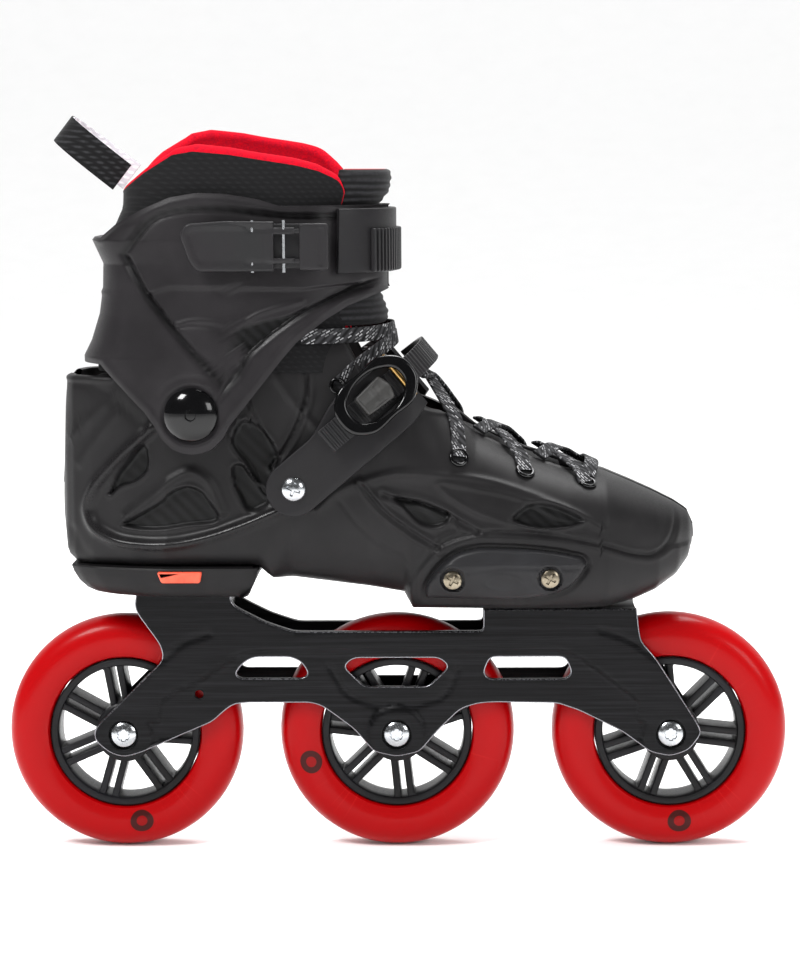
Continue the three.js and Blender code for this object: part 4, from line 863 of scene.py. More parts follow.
def boot_grid(x, columns, inset=0.0):
    """Grid over the boot, one row for each x: from the outer rim down, under the sole and up to the
    inner rim, its columns evenly spaced along the section."""
    rim, gap = opening(x)
    rows = []
    for at, top, half_gap in zip(x, rim, gap):
        wide, middle, half, shift = section(at, inset)
        rise = np.clip((top - middle) / half, -1, 1)
        by_rim = np.arcsin(rise ** 1.25) if rise > 0 else -np.arcsin((-rise) ** (sole_power(at) / 2))
        ends = []
        for side in (-1, 1):
            reach = np.clip((half_gap - side * shift) / wide, 0, 1)
            by_gap = np.arccos(reach ** 1.25)
            # The nearer the toe the more the throat alone sets the edge.
            ends.append(by_gap if at > 44 or by_gap < by_rim else by_rim)
        a = np.linspace(-np.pi - ends[0], ends[1], 700)
        line = on_boot(at, a, inset)
        t = np.concatenate([[0], np.cumsum(np.linalg.norm(np.diff(line, axis=0), axis=1))])
        # Column spacing: finer on the sides than under the sole.
        under = np.abs((a + np.pi / 2) / (np.pi / 2))
        weight = np.gradient(t) * np.where(under < 0.55, 0.25, 1.0)
        w = np.cumsum(weight)
        s = np.linspace(w[0], w[-1], columns)
        rows.append(np.stack([np.interp(s, w, line[:, k]) for k in range(3)], -1))
    return np.array(rows)


# Lines of the outer side's relief, (x, z).
RIDGE_A = [(-35, 163), (-25, 172), (-12, 177), (0, 180), (20, 179.5), (40, 177), (60, 171), (75, 165),
           (88, 159), (94, 155)]
LEAF = [(25, 170), (20, 175), (40, 173), (60, 168), (80, 159), (85, 157.5), (80, 156.5), (65, 156), (50, 158.5),
        (35, 164)]
LEAF_WINDOW = [(54, 160), (60, 165.5), (85, 158), (75, 156), (62, 156.5)]
LEAF_2_WINDOW = [(0, 169), (10, 167.5), (20, 164), (25, 161.5), (24.5, 159.5), (18, 156), (13, 157), (5, 164)]
LEAF_2_GROOVE = [(-5, 170.5), (2, 168), (10, 167.5), (22, 163), (30, 158), (38, 154)]
BUMPER = [(5, 126), (8, 132), (15, 142), (20, 147), (28, 151), (40, 153.5), (55, 153.5), (75, 151.5), (95, 147),
          (110, 142), (117, 141), (124, 144), (128, 150), (129.5, 157), (130, 164)]
DIAGONAL = [(-15, 175), (-5, 163), (10, 152), (20, 146)]
FAINT = [(-25, 168), (-15, 155), (0, 143), (5, 141)]
SLIDER = [(13.5, 126), (17, 134), (22, 140), (28, 144.5), (36, 147), (50, 147.5), (65, 146.5), (80, 144), (86, 142),
          (87.5, 139.5), (85, 134), (78, 127), (72, 124.5), (60, 122.5), (40, 121.8), (20, 122), (14, 122.5)]
VENT_LOOP = [(-110, 201), (-120, 192), (-130, 182), (-138, 172), (-141, 163), (-138, 155), (-130, 150), (-115, 147.5),
             (-100, 148), (-85, 151), (-70, 156), (-60, 160), (-51, 164)]
VENT_WINDOWS = [[(-114, 193), (-112.5, 188), (-113, 182), (-118, 177), (-126, 174), (-131, 170), (-128, 177),
                 (-120, 187)],
                [(-125, 156), (-118, 160), (-108, 166), (-98, 173), (-93, 174), (-88, 172), (-84, 167), (-80, 160),
                 (-95, 156.5), (-110, 154.5), (-120, 155)],
                [(-72, 184), (-69, 184), (-66, 180), (-57, 167), (-66, 163.5), (-70, 170), (-72.5, 177)],
                [(-73, 195), (-67.5, 204), (-64, 203), (-52, 185), (-57, 170), (-66, 184)]]
ARCH = [(-122, 161), (-110, 170), (-100, 178), (-92, 181), (-86, 178), (-78, 163)]
ANKLE_ARC = [(-43, 242), (-39.5, 228), (-39, 215), (-43, 203), (-50, 190), (-55, 183)]
RIB = [(-57, 230), (-42, 209), (-30, 196)]
HEEL_CREASE = [[(-144, 184), (-135, 196), (-125, 208)], [(-148, 196), (-138, 205), (-128, 215)]]
HEEL_SEAM = [(-148, 153), (-143, 143), (-135, 137.5), (-126, 136.3)]
HEEL_STEP = [(-152, 222), (-140, 221), (-125, 212), (-112, 201)]


def sides_relief(x, z):
    """How far each side point moves out (mm, negative in) and how much it is a vent, 0 to 1."""
    def line(points, count=60):
        return away(spline(points, count), x, z)

    def inside(points, soft=0.7):
        return ease(-signed(spline(points, 60, closed=True), x, z), -soft, soft)

    bumper = spline(BUMPER, 90)
    low = np.interp(x, bumper[:78, 0], bumper[:78, 1], left=-1e3)
    out = np.zeros(np.shape(x))
    # The toe overlay stands 1.2 mm out below its line, with a groove along the line.
    below = ease(low - z, -0.8, 1.8) * ease(x, 5, 12)
    out += 0.9 * below - 0.9 * hump(line(BUMPER, 90), 1.0) + 0.25 * hump(line(BUMPER, 90) - 2.4, 1.2)
    ridge = line(RIDGE_A)
    above = np.interp(x, spline(RIDGE_A, 60)[:, 0], spline(RIDGE_A, 60)[:, 1], left=-1e3, right=-1e3)
    out += 1.1 * hump(ridge, 1.7) - 0.7 * ease(above - z, 0.5, 6) * ease(z - low, 0.5, 6) * ease(x, -30, -5)
    out += 0.9 * hump(line(LEAF + LEAF[:1], 90), 1.5) + 0.5 * inside(LEAF, 1.5)
    out += 0.7 * hump(line(LEAF_2_GROOVE) - 2.2, 1.3) - 0.8 * hump(line(LEAF_2_GROOVE), 1.0)
    double = line(DIAGONAL)
    out += 0.8 * hump(double - 2.0, 1.0) - 0.5 * hump(double, 0.9) - 0.35 * hump(line(FAINT), 1.2)
    slide = signed(spline(SLIDER, 120, closed=True), x, z)
    out -= 1.3 * ease(-slide, -1.6, -0.6)
    # Vent loop of the heel: a round rim about a sunken field, with struts left standing in it.
    loop = spline(VENT_LOOP, 90)
    field = ease(-signed(np.vstack([loop, [(-52, 190), (-66, 215), (-98, 205)]]), x, z), -0.5, 2.5)
    rim = away(loop, x, z)
    out += -2.4 * field * (1 - hump(rim, 2.4)) + 1.8 * hump(rim, 2.3)
    out += 1.8 * hump(line(ARCH), 2.0) * field
    out += 0.8 * hump(line(ANKLE_ARC) - 2.0, 1.2) - 1.0 * hump(line(ANKLE_ARC), 1.2)
    out += 0.7 * hump(line(RIB), 1.8)
    for crease in HEEL_CREASE:
        out += 0.6 * hump(line(crease), 2.2)
    out -= 0.5 * hump(line(HEEL_SEAM), 2.4)
    out -= 0.6 * hump(line(HEEL_STEP), 2.8)
    vent = np.zeros(np.shape(x))
    for window in [LEAF_WINDOW, LEAF_2_WINDOW, *VENT_WINDOWS]:
        hole = inside(window)
        vent = np.maximum(vent, hole)
        out -= 2.6 * hole - 0.35 * hump(np.abs(signed(spline(window, 60, closed=True), x, z)) - 1.2, 0.8) * (1 - hole)
    return out, vent


class SKATE_OT_boot(bpy.types.Operator):
    """Builds the moulded boot: the shell as one grid of superellipse sections whose sides are moved along
    their normals by the distance to each relief line, with an inner wall, and the heel base and pad"""
    bl_idname = "skate.boot"
    bl_label = "Build boot"

    def execute(self, context):
        look, wall = LOOKS, context.scene.skate_sizes.shell_wall / MM
        x = np.concatenate([[-154.98], np.arange(-154.6, 138.9, 0.95), [138.95]])
        columns = 330
        outer = boot_grid(x, columns)
        n = normals(outer)
        middle = section(x)[1]
        away_from = outer - np.stack([x * 0.97, np.zeros(len(x)), middle], -1)[:, None]
        n *= np.sign(np.sum(n * away_from, -1))[..., None]
        flat_x, flat_z = outer[..., 0], outer[..., 2]
        push, vent = sides_relief(flat_x, flat_z)
        facing_out = ease(np.abs(n[..., 1]), 0.25, 0.6) * ease(outer[..., 1] * -1, 2, 8)
        inner_side = ease(np.abs(n[..., 1]), 0.25, 0.6) * ease(outer[..., 1], 2, 8)
        total = push * facing_out + push * inner_side
        # The vents count on the two sides only.
        vent = np.where(facing_out + inner_side > 0.5, vent, 0)
        # The rims round over and stand 0.5 mm proud as a bead.
        edge = np.arange(columns) * 1.0
        from_rim = np.minimum(edge, columns - 1 - edge)[None, :] * np.ones((len(x), 1)) * 0.75
        total = total + 0.5 * hump(from_rim - 2.5, 1.6) * (x < 92)[:, None] - 0.5 * hump(from_rim, 0.6)
        shell = outer + n * np.clip(total, -5.5, 2.6)[..., None]
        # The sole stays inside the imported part.
        low, high = room("shell")
        shell[..., 2] = np.maximum(shell[..., 2], low[2] - 0.3)
        # The inner wall falls back behind the vents, away from the rims.
        deep = ease(np.minimum(np.arange(90), 89 - np.arange(90)), 0.5, 5)[None, :, None]
        inner = boot_grid(x, 90, wall) * (1 - deep) + boot_grid(x, 90, 6.3) * deep
        closed = (x > THROAT_END - 0.1) | (section(x)[1] + section(x)[2] < opening(x)[0]) & (x < -60)
        inner[..., 0] = np.clip(inner[..., 0], low[0] + 2, high[0] - 2)
        rim_in = np.stack([shell[:, 0], (shell[:, 0] * 0.55 + inner[:, 0] * 0.45) + [0, 0, 0.5], inner[:, 0]], 1)
        rim_out = np.stack([shell[:, -1], (shell[:, -1] * 0.55 + inner[:, -1] * 0.45) + [0, 0, 0.5], inner[:, -1]], 1)
        open_rows = np.where(~closed)[0]
        first, last = open_rows[0], open_rows[-1] + 1
        polish = 0.8 * hump(away(spline(VENT_LOOP, 90), flat_x, flat_z), 3.2) * facing_out
        parts = [(*skin(shell), 0, True), (*skin(inner), 0, True),
                 (*skin(rim_in[first:last + 1]), 0, True), (*skin(rim_out[first:last + 1]), 0, True),
                 lid(shell[0]), lid(shell[-1])]
        vents_and_shade = [vent.ravel(), np.zeros(sum(len(p[0]) for p in parts[1:]))]
        make("shell_moulded", parts, look["shell"], "boot", ["shell"], sharp=60,
             fields={"vent": np.concatenate(vents_and_shade), "polish": np.pad(polish.ravel(), (0, len(vents_and_shade[1])))}, weld=0.02)
        self.heel(look)
        self.sliders(look)
        return {"FINISHED"}

    def heel(self, look):
        high = room("heel_base")[1]
        # Level outlines of the block: the boot's plan, drawn in towards the bottom, and more so behind.
        x = np.linspace(-151.2, high[0] - 0.4, 60)
        y = np.interp(x, STATIONS[:, 0], STATIONS[:, 1])
        plan = np.concatenate([np.stack([x, -y], -1), np.stack([x, y], -1)[::-1]])
        plan = fillet(evenly(plan, 90, closed=True), 1.5, 3)
        out = outwards(plan)
        pad_low, pad_high = room("heel_cushion")
        rows = []
        for z, inset, behind in ((122.8, 8.2, 9), (123.6, 6.0, 7), (125.5, 3.9, 5), (129, 2.2, 2.8), (133, 1.3, 1.2),
                                 (135.9, 1.0, 0.4), (136.6, 1.5, 0.4), (137.0, 4.0, 0.4)):
            flat = plan - out * inset
            flat[:, 0] += behind * ease(-flat[:, 0], 100, 150) - 0.8 * behind * ease(flat[:, 0], -75, -57)
            rows.append(np.stack([flat[:, 0], flat[:, 1], np.full(len(flat), z)], -1))
        parts = [(*skin(np.array(rows), around=True), 0, True), lid(rows[0]), lid(rows[-1])]
        make("heel_base_moulded", parts, look["heel"], "boot", ["heel_base"], sharp=40)
        x0, x1, z0, z1 = pad_low[0], pad_high[0], pad_low[2], pad_high[2]
        line = fillet([(x0, z1), (x1, z1), (x1 - 1, z0), (x0 + 2, z0)], 1.0, 5)
        make("heel_pad_elastomer", slab(line, -43.6, 43.6, 0.7), look["pad"], "boot",
             ["heel_cushion"], sharp=40)

    def sliders(self, look):
        """Slider blocks: their outline raised off the shell's side, the band above z 138 facing up."""
        outline = spline(SLIDER, 150, closed=True)
        ring = outline - outwards(outline) * 0.5
        flat, faces = self.field(ring, 1.5)
        edge = -signed(ring, flat[:, 0], flat[:, 1])
        for side_name, sign in SIDES.items():
            base = boot_face(flat[:, 0], flat[:, 1], sign)
            lift = 4.6 * np.sqrt(np.clip(1 - (1 - np.clip(edge / 2.2, 0, 1)) ** 2, 0, 1))
            bevel = ease(flat[:, 1] - (138 + 0.02 * flat[:, 0]), 0, 1.5)
            lift = lift - bevel * (flat[:, 1] - 138) * 0.28
            groove = away([(14, 133), (50, 138.2), (90, 137.4)], flat[:, 0], flat[:, 1])
            lift = lift - 0.4 * hump(groove, 0.8)
            for x, z in ((26.5, 132), (70.5, 133)):
                r = np.hypot(flat[:, 0] - x, flat[:, 1] - z)
                lift = lift - 1.9 * (1 - ease(r, 5.0, 5.7)) + 0.3 * hump(r - 6.6, 0.8)
            oval = np.abs(np.hypot((flat[:, 0] - 49) / 8, (flat[:, 1] - 131) / 3.6) - 1) * 4
            lift = lift + 0.35 * hump(oval, 0.7)
            points = np.stack([flat[:, 0], base + sign * lift, flat[:, 1]], -1)
            rim = np.stack([ring[:, 0], boot_face(ring[:, 0], ring[:, 1], sign), ring[:, 1]], -1)
            deep = rim - [0, sign * 1.2, 0]
            wall = np.stack([rim, deep])
            back = (deep, [list(range(len(deep)))], 0, False)
            make(f"slider_{side_name}_nylon", [(points, faces), (*skin(wall, around=True), 0, True), back],
                 look["slider"], "boot", [f"slider_{side_name}"], sharp=50, weld=0.02)
            for x, where in ((26.5, "rear"), (70.5, "front")):
                low, high = room(f"slider_screw_{side_name}_{where}")
                mid = (low + high) / 2
                y = low[1] + 1.3 if sign < 0 else high[1] - 1.3
                turn = Matrix.Rotation(0 if sign < 0 else math.pi, 4, "Z") @ Matrix.Rotation(0.5, 4, "Y")
                screw = placed(head(4.2, 1.1, phillips(2.7, 0.62), 1.1, rings=22, count=72),
                               Matrix.Translation((mid[0], y, mid[2])) @ turn)
                screw += pin((mid[0], y, mid[2]), (mid[0], y - sign * 4, mid[2]), 1.8)
                make(f"slider_screw_{side_name}_{where}_steel", screw, look["bronze"], "boot",
                     [f"slider_screw_{side_name}_{where}"], sharp=25)

    def field(self, ring, grain):
        low, high = ring.min(0), ring.max(0)
        x, z = np.meshgrid(np.arange(low[0], high[0], grain * 0.55), np.arange(low[1], high[1], grain * 0.55))
        clear = -signed(ring, x, z) > 0.35
        return fill([ring], np.stack([x[clear], z[clear]], -1))


# ---------------------------------------------------------------- bands, cuff and buckles
def ribbon(line, out, across, low, high, thick, edge=0.5, base=0.0):
    """A flat band along a line of points. Each section is a rounded rectangle from low to high along the
    across vector and from base to base + thick along out, and both ends are closed."""
    line, out, across = (np.asarray(v, float) for v in (line, out, across))
    count = len(line)
    out, across = np.broadcast_to(out, line.shape), np.broadcast_to(across, line.shape)
    low, high, thick = (np.broadcast_to(np.asarray(v, float), count)[:, None] for v in (low, high, thick))
    a = np.linspace(0, np.pi / 2, 4)
    c, s = edge * (1 - np.cos(a)), edge * (1 - np.sin(a))
    flat = np.linspace(0.15, 0.85, 5)
    span, half = high - low, np.minimum(edge, np.minimum(thick * 0.49, (high - low) * 0.49)) / edge
    z = np.concatenate([low + c * half, low + span * flat, high - c[::-1] * half, high - s[::-1] * half * 0,
                        high - s * 0 * half], 1)[:, :13]
    h = np.concatenate([thick - s * half, thick + 0 * flat, thick - s[::-1] * half], 1)
    under_z = np.concatenate([high - c * half, high - span * flat, low + c[::-1] * half], 1)
    under_h = np.concatenate([s * half, 0 * flat + 0 * thick, s[::-1] * half], 1)
    z, h = np.concatenate([z, under_z], 1), np.concatenate([h, under_h], 1) + base
    grid = line[:, None] + z[..., None] * across[:, None] + h[..., None] * out[:, None]
    return [(*skin(grid, around=True), 0, True), lid(grid[0]), lid(grid[-1])]


LEVELS = np.array([
    [184, -141, 8, 52.5], [212, -142.5, 6, 52.5], [233, -143, 4, 51.5], [240, -139.5, 3, 51], [252, -135.7, 2, 50.2],
    [264, -134, -2.5, 49.3], [275, -133.7, -2.5, 48.6], [285.7, -138.6, -2.5, 48.2], [292, -134, -2.5, 47.8],
    [300, -130, -2.5, 47], [307, -129, 3, 45.5], [320, -127, 5, 44], [338, -125, 5, 42.5]])


def on_leg(a, z, grow=0.0):
    """Point of the lower leg's sleeve at height z and angle a (0 front, pi back, positive to the inner
    side): x = c + r cos(a)^(2/n), y = w sin(a)^(2/n), n 3.4 behind and 2.5 in front."""
    a, z, grow = np.broadcast_arrays(a, z, grow)
    back, front, half = (np.interp(z, LEVELS[:, 0], LEVELS[:, k]) for k in (1, 2, 3))
    n = np.where(np.cos(a) < 0, 3.4, 2.5)
    return np.stack([(back + front) / 2 + ((front - back) / 2 + grow) * power(np.cos(a), 2 / n),
                     (half + grow) * power(np.sin(a), 2 / n), z], -1)


def leg_angle(x, z, side, grow=0.0):
    """Angle at which the sleeve passes x on a side, by bisection."""
    low, high = np.full(np.shape(x), 1e-4), np.full(np.shape(x), np.pi - 1e-4)
    for _ in range(40):
        mid = (low + high) / 2
        ahead = on_leg(mid, z, grow)[..., 0] > x
        low, high = np.where(ahead, mid, low), np.where(ahead, high, mid)
    return side * (low + high) / 2


CUFF_LOW = np.array([(-160, 231), (-133, 230), (-120, 217), (-112, 209), (-107.9, 203.3), (-104.5, 197), (-99.5, 192.4),
                     (-95, 190.6), (-90.5, 190), (-86, 190.6), (-81.5, 192.4), (-76.5, 197), (-73.1, 203.3),
                     (-62, 217), (-50, 232), (-43, 240), (-30, 250), (-20, 256), (0, 263.5), (20, 264)], float)
CUFF_TOP = np.array([(-160, 287), (-132.5, 287), (-125, 293), (-112, 300), (-100, 305), (-88, 307), (-75, 306.5),
                     (-60, 304), (-50, 301), (20, 301)], float)
BAND_RIM = [(-122, 280), (-105, 297), (-90, 300), (-75, 300), (-60, 298), (-45, 296.5), (-20, 296.5)]
BAND_BACK = [(-122, 280), (-110, 260), (-100, 248), (-90, 236), (-74.5, 219.5)]
BAND_FRONT = [(-74.5, 219.5), (-70, 225), (-64, 235), (-55, 243), (-40, 253), (-30, 258), (-20, 262.5), (0, 268)]
LEDGE = [(-112, 262), (-100, 265), (-40, 264), (-20, 266)]
CURVE = [(-98, 248), (-90, 250), (-80, 249.5), (-72, 247.5), (-60, 253), (-40, 258.5)]
CUFF_WINDOW = [(-71, 244.5), (-60, 249), (-45, 252.5), (-38, 255.5), (-47, 249), (-55, 243.5), (-65, 236.5)]


def cuff_relief(x, z):
    """Raised bands round two sunken panels: the upper is 1.5 mm deep and the lower, under the ledge,
    2.7 mm; a disc about the ankle stands in it and a window opens behind it. Nothing goes deeper than
    3.5 mm, which leaves a wall."""
    back = np.interp(x, *np.array(BAND_BACK, float).T, left=1e3, right=-1e3)
    front_line = spline(BAND_FRONT, 60)
    front = np.interp(x, *front_line.T, left=-1e3, right=300)
    rim_line = spline(BAND_RIM, 60)
    rim = np.interp(x, *rim_line.T, left=-1e3, right=296.5)
    ledge = np.interp(x, *np.array(LEDGE, float).T)
    inside = ease(z - np.maximum(back, front), 0, 1.6) * ease(rim - z, 0, 1.6) * ease(x, -122, -120)
    out = -inside * (1.5 + 1.2 * ease(ledge - z, -0.6, 1.0))
    groove = hump(away(np.vstack([front_line[::-1], BAND_BACK[::-1], rim_line]), x, z), 1.5)
    out -= 1.1 * groove
    from_pivot = np.hypot(x + 90.5, z - 208)
    out += 0.9 * inside * ease(39.5 - from_pivot, -0.4, 1.2)
    out += 0.7 * hump(away(spline(CURVE, 40), x, z), 1.1) * inside
    out -= 0.9 * (1 - ease(from_pivot, 12.6, 14)) + 0.4 * hump(from_pivot - 16.5, 1.2)
    # Bead along the cuff's own edges.
    edge = away(CUFF_LOW, x, z)
    out += 0.45 * hump(edge - 2.6, 1.4) - 0.4 * hump(edge, 0.7)
    out += 0.4 * hump(away(CUFF_TOP, x, z) - 2.4, 1.3)
    window = ease(-signed(spline(CUFF_WINDOW, 60, closed=True), x, z), -0.6, 0.6)
    # The second value is the windows plus 0.8 of each groove as painted shade: the grooves take the windows' dark
    # lining colour.
    return np.maximum(out - 1.3 * window, -3.5), np.maximum(window, 0.8 * groove)


class SKATE_OT_cuff(bpy.types.Operator):
    """Builds the moulded cuff as a grid of angle and height between its two outlines on the leg's
    sleeve, moved along its normals by its relief, and its pivot caps"""
    bl_idname = "skate.cuff"
    bl_label = "Build cuff"

    def execute(self, context):
        look, wall = LOOKS, context.scene.skate_sizes.cuff_wall / MM
        ends = [leg_angle(np.array(-2.9), 275.0, -1), leg_angle(np.array(-2.9), 275.0, 1)]
        # From the outer front edge round the back to the inner front edge.
        a = np.linspace(ends[0], ends[1] - 2 * np.pi, 460)
        bottom, top = np.full(len(a), 240.0), np.full(len(a), 300.0)
        for _ in range(60):
            bottom = 0.5 * bottom + 0.5 * np.interp(on_leg(a, bottom)[:, 0], *CUFF_LOW.T)
            top = 0.5 * top + 0.5 * np.interp(on_leg(a, top)[:, 0], *CUFF_TOP.T)
        t = np.linspace(0, 1, 130)
        z = bottom[:, None] + (top - bottom)[:, None] * t
        outer = on_leg(a[:, None], z, -0.05)
        n = normals(outer)
        n *= np.sign(n[..., 1] * outer[..., 1] + n[..., 0] * (outer[..., 0] + 68))[..., None]
        push, vent = cuff_relief(outer[..., 0], outer[..., 2])
        side = ease(np.abs(n[..., 1]), 0.3, 0.65)
        # Behind, only a bead along the edges and two creases remain.
        behind = 0.5 * hump(outer[..., 2] - 262, 1.2) * (1 - side) * (outer[..., 0] < -100)
        shown = outer + n * (push * side + behind)[..., None]
        deep = wall + 1.4 * ease(np.minimum(t, 1 - t), 0.02, 0.12) * np.ones((len(a), 1))
        inner = on_leg(a[:, None], z, -deep)[:, ::3]
        inner[:, 0], inner[:, -1] = on_leg(a, bottom, -wall), on_leg(a, top, -wall)
        m = inner.shape[1]
        # The edge wall is made of four strips, each sampled like the inner face.
        strips = [np.stack([shown[:, 0], inner[:, 0]]), np.stack([shown[:, -1], inner[:, -1]])]
        parts = [(*skin(shown), 0, True), (*skin(inner), 0, True)] + [(*skin(s), 0, True) for s in strips]
        for k in (0, -1):
            line = shown[k]
            inside = np.stack([np.interp(t, np.linspace(0, 1, m), inner[k][:, c]) for c in range(3)], -1)
            parts.append((*skin(np.stack([line, inside])), 0, True))
        rest = sum(p[0].shape[0] for p in parts[1:])
        # The vent attribute here holds the windows and the painted groove shade.
        vents_and_shade = np.pad((vent * side).ravel(), (0, rest))
        shine = away(spline(BAND_FRONT, 60), outer[..., 0], outer[..., 2])
        shine = np.minimum(shine, away(BAND_BACK, outer[..., 0], outer[..., 2]))
        polish = np.pad((0.35 * hump(shine - 1.5, 1.6) * side).ravel(), (0, rest))
        make("cuff_moulded", parts, look["cuff"], "cuff", ["cuff"], sharp=60,
             fields={"vent": vents_and_shade, "polish": polish}, weld=0.01)
        for side_name, sign in SIDES.items():
            low, high = room(f"pivot_bolt_{side_name}")
            x, z = ANKLE_PIVOT[0], ANKLE_PIVOT[2]
            depth = -low[1] if sign < 0 else high[1]
            turn = Matrix.Rotation(0 if sign < 0 else math.pi, 4, "Z")
            seat = Matrix.Translation((x, sign * (depth - 4.9), z)) @ turn
            cap = head(12.1, 4.8, hexagon(4.4), 1.6, rings=34, count=96)
            make(f"pivot_cap_{side_name}_lacquered", placed(cap + pin((0, 1, 0), (0, 9, 0), 3.9), seat), look["gloss"],
                 "boot", [f"pivot_bolt_{side_name}"], sharp=35)
        return {"FINISHED"}


class SKATE_OT_buckles(bpy.types.Operator):
    """Builds the cuff's strap and buckle: plates cut from outlines, with bands that follow the leg's
    sleeve, and the ribbed block in front"""
    bl_idname = "skate.buckles"
    bl_label = "Build cuff buckle"

    def band(self, start, stop, z0, z1, grow, thick, count=110, ribs=0.0):
        """A band round the leg between two angles, z0..z1, grow mm off the cuff."""
        a = np.linspace(start, stop, count)
        mid = (z0 + z1) / 2
        line = on_leg(a, mid, grow)
        up = on_leg(a, z1, grow) - on_leg(a, z0, grow)
        up /= np.linalg.norm(up, axis=1, keepdims=True)
        out = np.cross(np.gradient(line, axis=0), up)
        out /= np.linalg.norm(out, axis=1, keepdims=True)
        out *= np.sign(np.sum(out * (line - [-66, 0, mid]), 1))[:, None]
        t = np.concatenate([[0], np.cumsum(np.linalg.norm(np.diff(line, axis=0), axis=1))])
        tall = thick + ribs * (0.5 + 0.5 * np.sign(np.sin(2 * np.pi * t / 2.6))) if ribs else thick
        return ribbon(line, out, up, -(z1 - z0) / 2, (z1 - z0) / 2, tall, 0.7)

    def execute(self, context):
        look = LOOKS
        low, high = room("buckle_base")
        base = fillet([(low[0] + 0.3, low[2] + 0.3), (high[0] - 0.3, low[2] + 0.3), (high[0] - 0.3, high[2] - 0.3),
                       (low[0] + 0.3, high[2] - 0.3)], 1.5, 4)
        make("buckle_base_moulded", slab(base, low[1] + 0.1, high[1] - 0.6, 0.5), look["buckle"], "cuff",
             ["buckle_base"])
        low, high = room("buckle_lever")
        outline = fillet([(-91.5, 293.5), (-94.3, 289), (-89.5, 275.5), (-86, 272.2), (-52.4, 272.2), (-52.4, 275.5),
                          (-43, 275.5), (-43, 278), (-52.4, 278), (-52.4, 288.5), (-43, 288.5), (-43, 291.6),
                          (-52.4, 291.6), (-52.4, 294.3), (-75, 294.6)], [2.2, 2.4, 2.4, 1.2] + [0.5] * 10 + [1.5], 5)

        def lever(x, z):
            inset = signed(outline, x, z)
            step = 0.35 * ease(-inset, 2.6, 3.4)
            rows = 0.6 * (hump(z - 291.2, 0.8) + hump(z - 275.4, 0.8)) * ease(x, -66, -64)
            return step + rows

        parts = slab(outline, low[1] + 0.05, high[1] - 0.05, 0.9, relief=lever, grain=1.2)
        parts += [(p[0], p[1], 1, True) for p in sum([pin((x, -54.7, 271.7), (x, -54.9, 294.9), 0.8) for x in (-62, -48)],
                                                    [])]
        make("buckle_lever_moulded", parts, [look["buckle"], look["zinc"]], "buckle_lever",
             ["buckle_lever"])
        low, high = room("buckle_bail")
        plate = fillet([(-41, 272.6), (-28.2, 272.6), (-28.2, 293.4), (-41, 293.4)], 1.6, 5)
        parts = slab(plate, low[1] + 0.05, high[1] - 0.05, 0.9,
                     relief=lambda x, z: 0.5 * hump(x + 31.4, 0.7), grain=1.0)
        for z in (276.6, 290.0):
            arm = fillet([(-63.6, z - 1), (-39, z - 1), (-39, z + 1), (-63.6, z + 1)], 0.7, 4)
            parts += slab(arm, low[1] + 0.6, high[1] - 0.6, 0.4)
        make("buckle_bail_moulded", parts, look["buckle"], "buckle_bail", ["buckle_bail"])
        z0, z1 = room("cuff_strap")[0][2], room("cuff_strap")[1][2]
        mid = (z0 + z1) / 2
        start, stop = leg_angle(np.array([-24.2, -28.0]), mid, np.array([-1, 1]), 2.0)
        make("cuff_strap_moulded", self.band(start, stop, z0, z1, 0.65, 2.8), look["strap"], "cuff_strap",
             ["cuff_strap"])
        back = leg_angle(np.array(-37.8), mid, 1, 2.0)
        near = leg_angle(np.array(-28.8), mid, 1, 2.0)
        make("cuff_strap_anchor_moulded", self.band(near, back, z0, z1, 0.65, 2.8, 14), look["strap"], "cuff",
             ["cuff_strap_anchor"])
        start, stop = leg_angle(np.array([-9.0, -9.0]), mid, np.array([-1, 1]), 4.5)
        make("cuff_ladder_moulded", self.band(start, stop, 271, 290.5, 3.5, 1.2, 260, ribs=1.0), look["buckle"],
             "cuff_strap", ["cuff_ladder"], sharp=30)
        return {"FINISHED"}


# ---------------------------------------------------------------- strap over the instep
def instep_frame():
    """The strap's frame: X up along it at 40 degrees, Y across the boot."""
    return Matrix.Translation(STRAP_PIVOT) @ Matrix.Rotation(-math.radians(40), 4, "Y")


def arch(s, offset=0.0):
    """Points of the strap's arch at angles s from its crest, moved out by an offset: x = 81 cos(s)^(2/n),
    y = 47.5 sin(s)^(2/n), n = 3.2. Also the outward direction."""
    def at(v):
        return np.stack([81 * power(np.cos(v), 2 / 3.2), 47.5 * power(np.sin(v), 2 / 3.2), 0 * v], -1)
    along = at(s + 0.01) - at(s - 0.01)
    along /= np.linalg.norm(along, axis=1, keepdims=True)
    out = np.stack([along[:, 1], -along[:, 0], 0 * s], -1)
    return at(s) + out * np.reshape(offset, (-1, 1)), out


